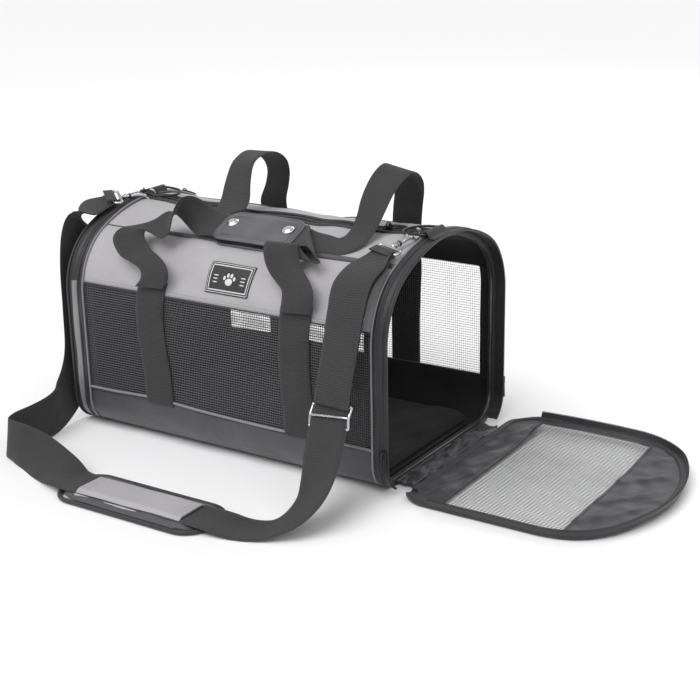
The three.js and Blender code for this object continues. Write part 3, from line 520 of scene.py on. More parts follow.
grey_cloth = cloth_material("grey_cloth", GREY, 0.8, 0.55, 0.2, crease_mm=0.55, variation=0.05)
grey_cloth_pad = cloth_material("grey_cloth_pad", GREY, 0.8, 0.55, 0.2, by_uv=False, crease_mm=0.3,
                                variation=0.05)
dark_cloth = cloth_material("dark_cloth", DARK, 0.8, 0.52, 0.2)
dark_cloth_pad = cloth_material("dark_cloth_pad", DARK, 0.8, 0.55, 0.25, by_uv=False)
trim_cloth = cloth_material("trim_cloth", shade(DARK, 0.32), 0.7, 0.45, 0.1, crease_mm=0.2)
# Pale grey trim cloth: the gusset's own colour, and on the arches' inner cords a painted sheen line.
pale_trim_and_painted_sheen = cloth_material("pale_trim_and_painted_sheen", shade(GREY, 0.55), 0.7, 0.42, 0.2, crease_mm=0.2)
black_cloth = cloth_material("black_cloth", shade(BLACK, 1.6), 0.8, 0.6, 0.15)
door_cloth = cloth_material("door_cloth", (0.028, 0.028, 0.033), 0.7, 0.36, 0.15, crease_mm=0.9)
lining_cloth = cloth_material("lining_cloth", BLACK, 0.8, 0.8, 0.1)
webbing_cloth = webbing_material("webbing_cloth", CHARCOAL)
leatherette = leather_material("leatherette", (0.105, 0.105, 0.112))
nickel = metal_material("nickel", (0.66, 0.66, 0.68), 0.22)
snap_steel = metal_material("snap_steel", (0.86, 0.86, 0.88), 0.12)
spring_steel = metal_material("spring_steel", (0.5, 0.5, 0.52), 0.35)
black_metal = enamel_material("black_metal", (0.018, 0.018, 0.019))
coil_nylon = enamel_material("coil_nylon", (0.03, 0.03, 0.032), 0.45)
board_plastic = enamel_material("board_plastic", (0.02, 0.02, 0.02), 0.6)
# The mat's own near-black pile, made darker still as painted shade for the dim inside of the bag.
plush = plush_material("plush", (0.011, 0.011, 0.013))
net_thread = thread_material("net_thread", (0.07, 0.07, 0.075))
dark_stitch = thread_material("dark_stitch", (0.045, 0.045, 0.05))
grey_stitch = thread_material("grey_stitch", (0.3, 0.3, 0.31))
pale_stitch = thread_material("pale_stitch", PALE)


# ---- the shell's skin ----------------------------------------------------------------------

def arc(y, z, radius, start, end, count):
    turn = np.radians(np.linspace(start, end, count))
    return np.column_stack([y + radius * np.cos(turn), z + radius * np.sin(turn)])


def arch_loop():
    """The arch outline from the floor's middle up the near side, over the crown and back, every mm."""
    meet = math.degrees(math.atan2(SHOULDER_Z - CROWN_Z, SHOULDER_Y))
    half = np.vstack([
        [[0, 0]], arc(HALF_WIDTH - BOTTOM_R, BOTTOM_R, BOTTOM_R, -90, 0, 30),
        arc(SHOULDER_Y, SHOULDER_Z, SHOULDER_R, 0, meet, 40), arc(0, CROWN_Z, CROWN_R, meet, 90, 30)[1:]])
    loop = np.vstack([half * (-1, 1), half[::-1][1:]])
    walked = np.concatenate([[0], np.cumsum(np.linalg.norm(np.diff(loop, axis=0), axis=1))])
    s = np.linspace(0, walked[-1], int(walked[-1]))
    y, z = np.interp(s, walked, loop[:, 0]), np.interp(s, walked, loop[:, 1])
    tangent = unit(np.column_stack([np.gradient(y), np.gradient(z)]))
    return s, y, z, -tangent[:, 1], tangent[:, 0]


LOOP_S, LOOP_Y, LOOP_Z, LOOP_NY, LOOP_NZ = arch_loop()
GIRTH = LOOP_S[-1]
CROWN_S = GIRTH / 2


def loop_at(s):
    s = np.mod(s, GIRTH)
    return (np.interp(s, LOOP_S, values) for values in (LOOP_Y, LOOP_Z, LOOP_NY, LOOP_NZ))


def height_of(s):
    return np.interp(np.mod(s, GIRTH), LOOP_S, LOOP_Z)


def near_s(z):
    half = LOOP_S < CROWN_S
    return float(np.interp(z, LOOP_Z[half], LOOP_S[half]))


def far_s(z):
    return GIRTH - near_s(z)


def roof_s(y):
    top = LOOP_Z > SHOULDER_Z
    return float(np.interp(y, LOOP_Y[top], LOOP_S[top]))


def relax(x, s, y, z):
    """How far the cloth stands off the arch outline: the roof sags and the sides go a little slack."""
    along = np.clip(1 - np.abs(x / ARCH_X) ** 3, 0, 1)
    middle = np.clip(1 - (y / 95.0) ** 2, 0, 1)
    roof = np.where(z > 200, -(1.2 + 5.6 * along) * middle, 0.0)
    side = smooth(z, 60, 110) * smooth(-z, -188, -150) * np.where(z < 200, 1.0, 0.0)
    slack = -2.6 * along * side * (0.6 + 0.4 * ripple(x, s * 0.3, 190, 5))
    cloth = smooth(z, 190, 205) * along
    soft = cloth * (1.3 * ripple(x, s * 1.4, 120, 11) + 0.55 * ripple(x, s, 46, 12))
    return roof + slack + soft


def skin(x, s, out=0.0):
    """Points and outward normals of the shell's cloth at x along the bag and s round the arch."""
    x, s = np.broadcast_arrays(np.asarray(x, float), np.asarray(s, float))
    y, z, ny, nz = loop_at(s)
    push = out + relax(x, s, y, z)
    points = np.stack([x, y + ny * push, z + nz * push], axis=-1)
    return points, np.stack([np.zeros_like(x), ny, nz], axis=-1)


def skin_grid(x_low, x_high, s_low, s_high, out, nx, ns, extra=None):
    x = np.linspace(x_low, x_high, nx)[:, None]
    s = np.linspace(s_low, s_high, ns)[None]
    push = out if extra is None else out + extra(*np.broadcast_arrays(x, s))
    return skin(x, s, push)


def ring_frames(s, x=0.0, out=0.0):
    """Path points and the X and outward directions along the arch, for swept trims."""
    y, z, ny, nz = loop_at(s)
    flat = np.zeros_like(y)
    normal = np.column_stack([flat, ny, nz])
    path = np.column_stack([flat + x, y + ny * out, z + nz * out])
    return path, np.tile([1.0, 0.0, 0.0], (len(y), 1)), normal


# ---- shell cloth -----------------------------------------------------------------------------

EDGE_X = ARCH_X - 0.3


def base_top(x):
    """Height of the base band's wavy upper edge."""
    return BASE_Z - 1.5 + 3.5 * np.exp(-((x + 105) / 50.0) ** 2) - 1.2 * np.exp(-((x - 60) / 60.0) ** 2)


def build_base():
    x = np.linspace(-EDGE_X, EDGE_X, 64)
    half = LOOP_S < CROWN_S
    top = np.interp(base_top(x), LOOP_Z[half], LOOP_S[half])[:, None]
    t = np.linspace(-1, 1, 101)[None]
    s = top * t
    raised = smooth(height_of(s), 4, 26)
    soft = raised * (1.1 * ripple(x[:, None], s, 95, 21) + 0.35 * ripple(x[:, None], s * 2, 40, 22) - 0.6)
    middle, normal = skin(x[:, None], s, -1.3 + soft)
    shape = Shape().slab(middle, normal, 1.1, inner=1)
    for side in (-1, 1):
        points, up = skin(x, side * (top[:, 0] - 3.6), -0.3)
        stitches(shape, points, up, slot=2)
    shape.make("base_band", "shell", "dark_fabric", [dark_cloth, lining_cloth, dark_stitch], ["base_tray"])
    for side, name in ((1, "near_base_piping"), (-1, "far_base_piping")):
        points, up = skin(x, side * top[:, 0], 0.4)
        Shape().cord(points, 1.7, 8, up=up).make(name, "shell", "dark_fabric", [pale_trim_and_painted_sheen])


def build_board():
    NODES["base_board"].data.materials.clear()
    NODES["base_board"].data.materials.append(board_plastic)


# Thread spacing along and up, then the half widths of the upright and the level threads.
NET_WEAVE = {"near": (2.6, 3.1, 0.4, 0.52), "far": (3.0, 3.2, 0.2, 0.26), "door": (4.4, 3.3, 0.16, 0.42)}


def net_threads(shape, point, u_range, v_range, pitch_u, pitch_v, thin, broad, keep=None, samples=(44, 26)):
    """Threads in both directions of a surface; point(u, v) gives points and normals."""
    u_low, u_high = u_range
    v_low, v_high = v_range
    lines = []
    for v in np.arange(v_low + pitch_v / 2, v_high, pitch_v):
        lines.append((np.linspace(u_low, u_high, samples[0]), np.full(samples[0], v), 0))
    for u in np.arange(u_low + pitch_u / 2, u_high, pitch_u):
        lines.append((np.full(samples[1], u), np.linspace(v_low, v_high, samples[1]), 1))
    turn = np.array([[1, 0], [0, 1], [-1, 0], [0, -1]], float)
    for u, v, across in lines:
        if keep is not None:
            u, v = keep(u, v, across)
            if u is None:
                continue
        points, normal = point(u, v)
        tangent = unit(np.gradient(points, axis=0))
        side = unit(np.cross(tangent, normal))
        width = thin if across else broad
        ring = (points[:, None] + side[:, None] * turn[None, :, :1] * width
                + normal[:, None] * turn[None, :, 1:] * 0.3)
        index = np.arange(len(points) * 4).reshape(-1, 4)
        after = np.roll(index, -1, axis=1)
        faces = np.stack([index[:-1], index[1:], after[1:], after[:-1]], axis=-1).reshape(-1, 4).tolist()
        faces += [index[0][::-1].tolist(), index[-1].tolist()]
        shape.add(ring, faces, np.zeros((len(points) * 4, 2)))
    return shape


def build_side_nets():
    for side, label, net_top in ((-1, "near", NEAR_NET_TOP), (1, "far", FAR_NET_TOP)):
        low, high = near_s(BASE_Z - 3), near_s(net_top + 2)

        def point(u, v, side=side):
            return skin(u, v if side < 0 else GIRTH - v, -1.2)

        shape = net_threads(Shape(), point, (-EDGE_X, EDGE_X), (low, high), *NET_WEAVE[label])
        shape.make(f"{label}_netting", "shell", "netting", [net_thread], [f"{label}_mesh_panel"])


def build_upper_panels():
    x_count = 96
    for side, label, net_top in ((-1, "near", NEAR_NET_TOP), (1, "far", FAR_NET_TOP)):
        low, high = near_s(net_top), roof_s(-SEAM_Y)
        if side > 0:
            low, high = GIRTH - low, GIRTH - high
        middle, normal = skin_grid(-EDGE_X, EDGE_X, low, high, -1.1, x_count, 26)
        shape = Shape().slab(middle, normal, 1.0, inner=1)
        toward = 1 if side < 0 else -1
        x = np.linspace(-EDGE_X + 2, EDGE_X - 2, 90)
        for inset in (2.2, 5.0):
            points, up = skin(x, low + toward * inset, 0.05)
            stitches(shape, points, up, slot=2)
        shape.make(f"{label}_upper_cloth", "shell", "grey_fabric", [grey_cloth, lining_cloth, grey_stitch],
                   [f"{label}_upper_panel"])
        hem = [skin(x * EDGE_X / (EDGE_X - 2), low - toward * 0.6, 0.3)]
        Shape().cord(hem[0][0], 1.0, 6, up=hem[0][1], squash=0.7).make(
            f"{label}_net_hem", "shell", "grey_fabric", [dark_stitch])


def build_roof():
    inner = ZIP_HALF - 1.5
    for side, label in ((-1, "near"), (1, "far")):
        edges = sorted((roof_s(side * SEAM_Y), roof_s(side * inner)))
        middle, normal = skin_grid(-EDGE_X, EDGE_X, *edges, -1.1, 96, 26)
        shape = Shape().slab(middle, normal, 1.0, inner=1)
        x = np.linspace(-EDGE_X + 2, EDGE_X - 2, 80)
        points, up = skin(x, roof_s(side * (inner + 2.2)), 0.05)
        stitches(shape, points, up, slot=2)
        shape.make(f"{label}_roof_cloth", "shell", "grey_fabric", [grey_cloth, lining_cloth, grey_stitch],
                   [f"{label}_top_panel"])
    build_roof_welts()
    build_roof_zip()


def welt(shape, x, s, width, height, out, slot=0):
    """A folded strip of cloth lying on the skin along X."""
    path, up = skin(x, s, out)
    tangent = unit(np.gradient(path, axis=0))
    side = np.cross(tangent, up)
    turn = np.linspace(0, TAU, 14, endpoint=False)
    outline = np.column_stack([np.cos(turn) * width / 2, np.sin(turn) * height / 2])
    outline[:, 1] += np.where(np.abs(outline[:, 0]) < width * 0.1, -0.12 * height, 0)
    return shape.sweep(path, side, up, outline, slot=slot)


PIPING_START_X = -122.0


def build_roof_welts():
    x = np.linspace(PIPING_START_X, EDGE_X, 80)
    shape = welt(Shape(), x, roof_s(-SEAM_Y) + 0 * x, 7.4, 4.4, 0.5)
    thin = np.linspace(-EDGE_X, PIPING_START_X, 30)
    welt(shape, thin, roof_s(-SEAM_Y) + 0 * thin, 2.0, 1.5, 0.0)
    points, up = skin(x, roof_s(-SEAM_Y) + 2.4, 2.3)
    stitches(shape, points, up, slot=1)
    shape.make("near_roof_piping", "shell", "dark_fabric", [dark_cloth, dark_stitch], ["near_top_piping"])
    long = np.linspace(-EDGE_X, EDGE_X, 100)
    welt(Shape(), long, roof_s(SEAM_Y) + 0 * long, 3.0, 2.4, 0.1).make(
        "far_roof_seam", "shell", "dark_fabric", [trim_cloth])


def build_roof_zip():
    shape = Shape()
    for side in (-1, 1):
        edges = sorted((roof_s(side * 1.4), roof_s(side * ZIP_HALF)))
        middle, normal = skin_grid(-EDGE_X, EDGE_X, *edges, -0.5, 80, 6)
        shape.slab(middle, normal, 0.55)
        x = np.linspace(-EDGE_X, EDGE_X, 100)
        welt(shape, x, roof_s(side * 11.5) + 0 * x, 6.0, 3.6, 0.7)
        welt(shape, x, roof_s(side * 5.2) + 0 * x, 3.2, 1.8, 0.2)
        points, up = skin(x, roof_s(side * 7.6), 0.15)
        stitches(shape, points, up, slot=2)
    x = np.linspace(-ARCH_X + 14, ARCH_X - 10, 100)
    points, up = skin(x, CROWN_S, 0.9)
    stitches(shape, points, up, pitch=1.7, length=4.4, width=1.35, slot=1, across=True)
    shape.make("roof_zip", "shell", "zip_tape", [trim_cloth, coil_nylon, dark_stitch], ["top_zip_tape"])


# ---- arches and ends -------------------------------------------------------------------------

def build_arches():
    s = np.linspace(0, GIRTH, 361)[:-1]
    channel = np.array([(0, -8), (0, 0.2), (0.9, 1.5), (3.5, 2.0), (6.1, 1.5), (7, 0.2), (7, -8),
                        (5.4, -8), (5.4, -3), (1.6, -3), (1.6, -8)])
    for side, label in ((-1, "left"), (1, "right")):
        start = ARCH_X if side > 0 else -ARCH_X - 7
        path, across, up = ring_frames(s, start)
        sag = 0.35 * ripple(s, 0 * s, 60, 31 + side)[:, None]
        floor = np.minimum(1.0, smooth(path[:, 2], 1, 20))[:, None]
        path = path + up * (sag - 0.2) * floor
        outline = channel.copy()
        outline[:, 1] = np.minimum(outline[:, 1], 1.9)
        scaled = np.repeat(outline[None], len(s), axis=0)
        scaled[:, :, 1] = np.where(scaled[:, :, 1] > 0, scaled[:, :, 1] * floor, scaled[:, :, 1])
        shape = Shape()
        ring = path[:, None] + across[:, None] * scaled[:, :, :1] + up[:, None] * scaled[:, :, 1:]
        add_ring(shape, ring)
        for x_stitch in (1.4, 5.6):
            row = s[(s > near_s(30)) & (s < far_s(30))]
            points, _, ups = ring_frames(row, start + x_stitch, 1.75)
            stitches(shape, points, ups, slot=1)
        shape.make(f"{label}_arch_cloth", "shell", "dark_fabric", [trim_cloth, dark_stitch],
                   [f"{label}_arch_binding"])
        NODES[f"{label}_arch_wire"].data.materials.clear()
        NODES[f"{label}_arch_wire"].data.materials.append(spring_steel)
        row = np.linspace(near_s(12), far_s(12), 260)
        # The inner cords are pale as a painted sheen line along each arch's inner edge; the outer cords are
        # plain dark trim.
        for x_cord, suffix, look in ((-side * 0.4, "inner", pale_trim_and_painted_sheen), (side * 7.6, "outer", trim_cloth)):
            edge = side * (ARCH_X if suffix == "inner" else ARCH_X) + x_cord
            points, _, ups = ring_frames(row, edge, 1.0)
            Shape().cord(points, 1.35, 8, up=ups).make(
                f"{label}_{suffix}_piping", "shell", "dark_fabric", [look])


def add_ring(shape, ring, slot=0):
    """A closed tube from rings of points, with UVs in millimetres."""
    rows, around = ring.shape[:2]
    index = np.arange(rows * around).reshape(rows, around)
    index = np.vstack([index, index[:1]])
    after = np.roll(index, -1, axis=1)
    faces = np.stack([index[:-1], index[1:], after[1:], after[:-1]], axis=-1).reshape(-1, 4).tolist()
    u = np.cumsum(np.linalg.norm(np.diff(ring[:, 0], axis=0, prepend=ring[:1, 0]), axis=1))
    v = np.cumsum(np.linalg.norm(np.diff(ring[0], axis=0, prepend=ring[0, :1]), axis=1))
    uvs = np.stack(np.broadcast_arrays(u[:, None], v[None]), axis=-1)
    return shape.add(ring, faces, uvs, [slot] * len(faces))


TAPE_OUTLINE = np.array([(0, -1.5), (0, 0.1), (1.2, 0.9), (2.6, 0.4), (5.5, 0.15), (7.8, 0.25), (9.2, 0.9),
                         (10.8, 0.7), (12, -0.1), (12, -1.5), (6, -1.7)])


def build_zip_rims():
    """The zip tapes round both ends, each with its row of teeth on the outer edge."""
    for side, label, z_start in ((1, "right", 6.0), (-1, "left", NEAR_NET_TOP)):
        s = np.linspace(near_s(z_start), far_s(z_start), 240)
        start = side * TAPE_X
        path, across, up = ring_frames(s, start)
        shape = Shape().sweep(path, across * side, up, TAPE_OUTLINE * (TAPE_W / 12, 1))
        points, _, ups = ring_frames(s, start + side * (TAPE_W - 0.7), 0.35)
        stitches(shape, points, ups, pitch=2.1, length=2.9, width=1.5, slot=1, across=True)
        points, _, ups = ring_frames(s, start + side * 4.2, 0.35)
        stitches(shape, points, ups, slot=2)
        shape.make(f"{label}_end_zip", "shell", "zip_tape", [trim_cloth, coil_nylon, dark_stitch],
                   [f"{label}_zip_tape"])


def build_gusset():
    """The pale gusset that joins the left arch to the end panel, below the zip."""
    low, high = far_s(NEAR_NET_TOP - 1) - GIRTH, near_s(NEAR_NET_TOP - 1)
    x = np.linspace(-TAPE_X - TAPE_W, -TAPE_X, 9)[:, None]
    s = np.linspace(low, high, 240)[None]
    bulge = 1.2 * np.sin(np.pi * (x + TAPE_X + TAPE_W) / TAPE_W) * smooth(height_of(s), 3, 24)
    soft = 0.5 * ripple(s, x, 42, 41) * smooth(height_of(s), 3, 24)
    y, z, ny, nz = loop_at(s + 0 * x)
    push = -1.3 + bulge + soft
    middle = np.stack([x + 0 * s, y + ny * push, z + nz * push], axis=-1)
    normal = np.stack([0 * y, ny, nz], axis=-1)
    Shape().slab(middle, normal, 1.0, inner=1).make(
        "left_gusset_cloth", "shell", "grey_fabric", [pale_trim_and_painted_sheen, lining_cloth], ["left_gusset"])


def relaxed_solid(node, name, body, materials, voxel=5.0, pressure=4.0, cap=7.0, shrink=0.8,
                  floor=None, after=None):
    """Padded cloth: the CAD solid is remeshed and blown up as cloth, then smoothed once."""
    source = NODES[node]
    mesh = source.data.copy()
    obj = bpy.data.objects.new(name, mesh)
    bpy.context.scene.collection.objects.link(obj)
    points = read_points(mesh)
    centre = (points.min(0) + points.max(0)) / 2
    size = np.maximum(points.max(0) - points.min(0), 1)
    write_points(mesh, centre + (points - centre) * (1 - 2 * shrink / size))
    remesh = obj.modifiers.new("remesh", "REMESH")
    remesh.mode = "VOXEL"
    remesh.voxel_size = voxel * MM
    bake(obj)
    rest = read_points(obj.data)
    simulate(obj, pressure)
    moved = read_points(obj.data) - rest
    length = np.linalg.norm(moved, axis=1, keepdims=True)
    moved = moved * np.minimum(1, cap / np.maximum(length, 1e-6))
    write_points(obj.data, rest + moved)
    points = read_points(obj.data)
    if after is not None:
        points = after(points)
    if floor is not None:
        points[:, 2] = np.maximum(points[:, 2], floor)
    write_points(obj.data, points)
    subdivide = obj.modifiers.new("smooth", "SUBSURF")
    subdivide.levels = subdivide.render_levels = 1
    bake(obj)
    obj.data.materials.clear()
    for material in materials:
        obj.data.materials.append(material)
    obj.data.polygons.foreach_set("material_index", [0] * len(obj.data.polygons))
    obj.data.shade_smooth()
    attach(obj, body)
    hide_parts(node)
    return obj


def read_points(mesh):
    flat = np.zeros(len(mesh.vertices) * 3)
    mesh.vertices.foreach_get("co", flat)
    return flat.reshape(-1, 3) / MM


def write_points(mesh, points):
    mesh.vertices.foreach_set("co", (points * MM).ravel())
    mesh.update()


def bake(obj):
    """Applies an object's modifiers."""
    bpy.context.view_layer.update()
    graph = bpy.context.evaluated_depsgraph_get()
    result = bpy.data.meshes.new_from_object(obj.evaluated_get(graph))
    obj.modifiers.clear()
    obj.data = result


def simulate(obj, pressure, frames=20):
    scene = bpy.context.scene
    scene.frame_set(1)
    cloth = obj.modifiers.new("cloth", "CLOTH")
    settings = cloth.settings
    settings.quality = 5
    settings.mass = 0.3
    settings.use_pressure = True
    settings.uniform_pressure_force = pressure
    settings.effector_weights.gravity = 0
    settings.tension_stiffness = settings.compression_stiffness = 15
    for number in range(1, frames + 1):
        scene.frame_set(number)
    bake(obj)
    scene.frame_set(1)


def build_end_panels():
    """Two padded panels close the left end, with a seam cord between them."""
    for part, seed in (("lower", 51), ("upper", 52)):
        def soften(points, seed=seed):
            outer = smooth(-points[:, 0], TAPE_X + TAPE_W + 6, TAPE_X + TAPE_W + 12)
            points[:, 0] -= outer * 0.9 * ripple(points[:, 1], points[:, 2], 80, seed)
            points[:, 0] = np.minimum(points[:, 0], -(TAPE_X + TAPE_W + 0.3))
            return points
        relaxed_solid(f"left_{part}_panel", f"left_end_{part}_cloth", "shell",
                      [dark_cloth_pad], cap=5.0, shrink=1.6, floor=0.4, after=soften)
    s = np.linspace(0, GIRTH, 321)[:-1]
    path, _, up = ring_frames(s, -(TAPE_X + TAPE_W + 6.4), 0.2)
    path = path + up * -0.6
    path[:, 2] = np.maximum(path[:, 2], 1.7)
    Shape().cord(path, 1.6, 8, up=up, closed=True).make(
        "left_end_piping", "shell", "dark_fabric", [trim_cloth])
    path, across, up = ring_frames(s, -(TAPE_X + TAPE_W))
    allowance = np.array([(-7.6, -1.0), (0.5, -1.0), (0.5, -17.0), (-0.4, -17.0), (-0.9, -2.6),
                          (-7.6, -2.6)])
    Shape().sweep(path, across, up, allowance, closed=True).make(
        "left_end_seam_allowance", "shell", "dark_fabric", [trim_cloth])
    y = np.linspace(-HALF_WIDTH + 9, HALF_WIDTH - 9, 60)
    seam = np.column_stack([np.full(60, -(TAPE_X + TAPE_W + 11.6)), y, np.full(60, NEAR_NET_TOP - 1.7)])
    wide = Shape().cord(seam, 1.7, 8, up=(-1, 0, 0))
    cover = np.array([(-8.5, -3.4), (8.5, -3.4), (8.5, -2.2), (2.0, -1.0), (-2.0, -1.0), (-8.5, -2.2)])
    wide.sweep(seam, np.tile([0.0, 0.0, 1.0], (60, 1)), np.tile([-1.0, 0.0, 0.0], (60, 1)), cover)
    wide.make("left_end_seam", "shell", "dark_fabric", [trim_cloth])
    z = np.linspace(5, float(np.max(LOOP_Z)) - 5, 70)
    side, _, _, _ = loop_at(np.array([near_s(height) for height in z]))
    half = np.abs(side) - 2.0
    y = np.linspace(-1, 1, 60)[None] * half[:, None]
    z = z[:, None] + 0 * y
    x = -(TAPE_X + TAPE_W) + 0.9 + 0.3 * ripple(y, z, 70, 53)
    grid = np.stack([x, y, z], axis=-1)
    Shape().slab(grid, np.tile([-1.0, 0.0, 0.0], (70, 60, 1)), 0.4).make(
        "left_end_lining", "shell", "lining", [lining_cloth])


# ---- webbing ---------------------------------------------------------------------------------

def grid_normals(grid):
    along = np.gradient(grid, axis=0)
    across = np.gradient(grid, axis=1)
    return unit(np.cross(along, across))


def ribbon_grid(rows, count, columns=9, width=WEBBING_W, pinch=(1.0, 1.0), rounds=6, square=True):
    """A strip of webbing along rows of [x, y, z, wx, wy, wz], w being the way across it."""
    curve = catmull(rows, count)
    centre = relax_rows(curve[:, :3], 2)
    tangent = unit(np.gradient(centre, axis=0))
    across = relax_rows(unit(curve[:, 3:]), rounds)
    if square:
        across = across - tangent * np.sum(across * tangent, axis=1, keepdims=True)
    across = unit(across)
    walked = np.concatenate([[0], np.cumsum(np.linalg.norm(np.diff(centre, axis=0), axis=1))])
    pinch_length = 34.0
    narrow = pinch[0] + (1 - pinch[0]) * smooth(walked, 0, pinch_length)
    narrow = narrow * (pinch[1] + (1 - pinch[1]) * smooth(walked[-1] - walked, 0, pinch_length))
    v = np.linspace(-0.5, 0.5, columns)
    offset = v[None, :, None] * (narrow * width)[:, None, None] * across[:, None]
    return centre[:, None] + offset


def webbing_piece(name, body, nodes, grids, seams=()):
    shape = Shape()
    for grid in grids:
        shape.slab(grid, grid_normals(grid), WEBBING_T / 2)
    for path, up in seams:
        stitches(shape, path, up, slot=1)
    return shape.make(name, body, "webbing", [webbing_cloth, dark_stitch], nodes)


ANCHOR_LOW = BASE_Z - 4.0
ANCHOR_HIGH = 205.5
ANCHORS = {
    "near_left": (-1, ((52, -94), (60, -95), (93, -98), (120, -103), (155, -106), (185, -101), (206, -98))),
    "near_right": (-1, ((52, 112), (88, 110), (120, 107), (150, 106), (185, 109), (206, 110))),
    "far_left": (1, ((52, -112), (120, -111), (206, -110))),
    "far_right": (1, ((52, 86), (120, 86), (206, 90))),
}


def anchor_x(name, z):
    heights, places = zip(*ANCHORS[name][1])
    return np.interp(z, heights, places)


def build_anchors():
    v = np.linspace(-0.5, 0.5, 9)
    for name, (side, _) in ANCHORS.items():
        s = np.linspace(near_s(ANCHOR_LOW), near_s(ANCHOR_HIGH), 60)
        x = relax_rows(anchor_x(name, height_of(s)), 30)
        walk = s if side < 0 else GIRTH - s
        grid, up = skin(x[:, None] + v * HANDLE_W, walk[:, None], 1.25)
        seams = []
        for edge in (-17.5, 17.5):
            points, ups = skin(x + edge, walk, 2.1)
            seams.append((points, ups))
        corner = np.array([(-16, -16), (16, -16), (16, 0), (-16, 0), (-16, -16), (16, 0)], float)
        box_s = near_s(ANCHOR_HIGH - 3) + corner[:, 1]
        box_x = anchor_x(name, height_of(box_s)) + corner[:, 0]
        for a in range(5):
            t = np.linspace(0, 1, 12)
            line_s = box_s[a] + (box_s[a + 1] - box_s[a]) * t
            line_x = box_x[a] + (box_x[a + 1] - box_x[a]) * t
            points, ups = skin(line_x, line_s if side < 0 else GIRTH - line_s, 2.15)
            seams.append((points, ups))
        webbing_piece(f"{name}_webbing", "shell", [f"{name}_anchor"], [grid], seams)


# ---- label -----------------------------------------------------------------------------------

LABEL_X = (-22.0, 41.0)
LABEL_Z = (204.0, 235.0)


def blob(shape, centre_x, centre_s, radius_x, radius_s, out, height, slot=0, count=22):
    """A small domed patch of raised thread on the skin."""
    turn = np.linspace(0, TAU, count, endpoint=False)
    rim, up = skin(centre_x + radius_x * np.cos(turn), centre_s + radius_s * np.sin(turn), out)
    inner, _ = skin(centre_x + 0.7 * radius_x * np.cos(turn), centre_s + 0.7 * radius_s * np.sin(turn),
                    out + height)
    middle, middle_up = skin(centre_x, centre_s, out)
    verts = np.vstack([rim, inner, middle + middle_up * height * 1.1, middle - middle_up * 0.2])
    faces = [(k, (k + 1) % count, count + (k + 1) % count, count + k) for k in range(count)]
    faces += [(count + k, count + (k + 1) % count, 2 * count) for k in range(count)]
    faces += [((k + 1) % count, k, 2 * count + 1) for k in range(count)]
    return shape.add(verts, faces, None, [slot] * len(faces))


def build_label():
    s_low, s_high = near_s(LABEL_Z[0]), near_s(LABEL_Z[1])
    middle, normal = skin_grid(*LABEL_X, s_low, s_high, 0.6, 24, 14)
    shape = Shape().slab(middle, normal, 0.5)
    for inset, width in ((1.1, 0.5), (3.4, 1.1)):
        x_low, x_high = LABEL_X[0] + inset, LABEL_X[1] - inset
        low, high = s_low + inset, s_high - inset
        bars = [(x_low, x_high, low, low + width), (x_low, x_high, high - width, high),
                (x_low, x_low + width, low, high), (x_high - width, x_high, low, high)]
        for a, b, c, d in bars:
            grid, up = skin_grid(a, b, c, d, 1.2, 20, 8)
            shape.slab(grid, up, 0.14, inner=1, outer=1)
    shape.make("label_badge", "shell", "label", [black_cloth, pale_stitch], ["label_patch"])
    centre_x, centre_s = sum(LABEL_X) / 2, (s_low + s_high) / 2 - 1.5
    marks = Shape()
    blob(marks, centre_x, centre_s - 2.4, 5.6, 4.4, 1.05, 0.35)
    for dx, ds, rx, rs in ((-7.4, 1.8, 1.9, 2.6), (-2.7, 5.2, 2.0, 2.8),
                           (2.7, 5.2, 2.0, 2.8), (7.4, 1.8, 1.9, 2.6)):
        blob(marks, centre_x + dx, centre_s + ds, rx, rs, 1.05, 0.35)
    for dx in (-20, 20):
        for step in (-4, 0, 4):
            blob(marks, centre_x + dx, centre_s + step, 3.6, 0.75, 1.05, 0.25)
    marks.make("label_mark", "shell", "label", [pale_stitch])


# ---- ring tabs, rings and hooks ---------------------------------------------------------------

RING_WIRE = 3.2


def ring_place(side):
    low, high = cad_box("left_ring" if side < 0 else "right_ring")
    bar_x = (high[0] - RING_WIRE / 2 if side > 0 else low[0] + RING_WIRE / 2)
    return bar_x, low[1] + RING_WIRE / 2, high[1] - RING_WIRE / 2, (low[2] + high[2]) / 2


def build_rings():
    for side, label in ((-1, "left"), (1, "right")):
        bar_x, y_low, y_high, z = ring_place(side)
        half = (y_high - y_low) / 2
        low, high = cad_box(f"{label}_ring")
        reach = high[0] - low[0] - RING_WIRE
        turn = np.linspace(-np.pi / 2, np.pi / 2, 30)
        bow = np.column_stack([np.cos(turn) * half + reach - half, np.sin(turn) * half])
        straight = np.linspace(0, reach - half, 8)[:-1]
        outline = np.vstack([
            np.column_stack([np.zeros(10), np.linspace(half - 2, -half + 2, 10)]),
            np.column_stack([straight[1:], np.full(6, -half)]), bow,
            np.column_stack([straight[::-1][:-1], np.full(6, half)])])
        droop = 2.2 * (outline[:, 0] / reach) ** 1.5
        middle_y = (y_low + y_high) / 2
        path = np.column_stack([bar_x - side * outline[:, 0], middle_y + outline[:, 1], z - droop])
        Shape().cord(path, RING_WIRE / 2, 12, closed=True).make(
            f"{label}_d_ring", f"{label}_ring", "dark_metal", [black_metal], [f"{label}_ring"])
        build_ring_tab(side, label, bar_x, z)


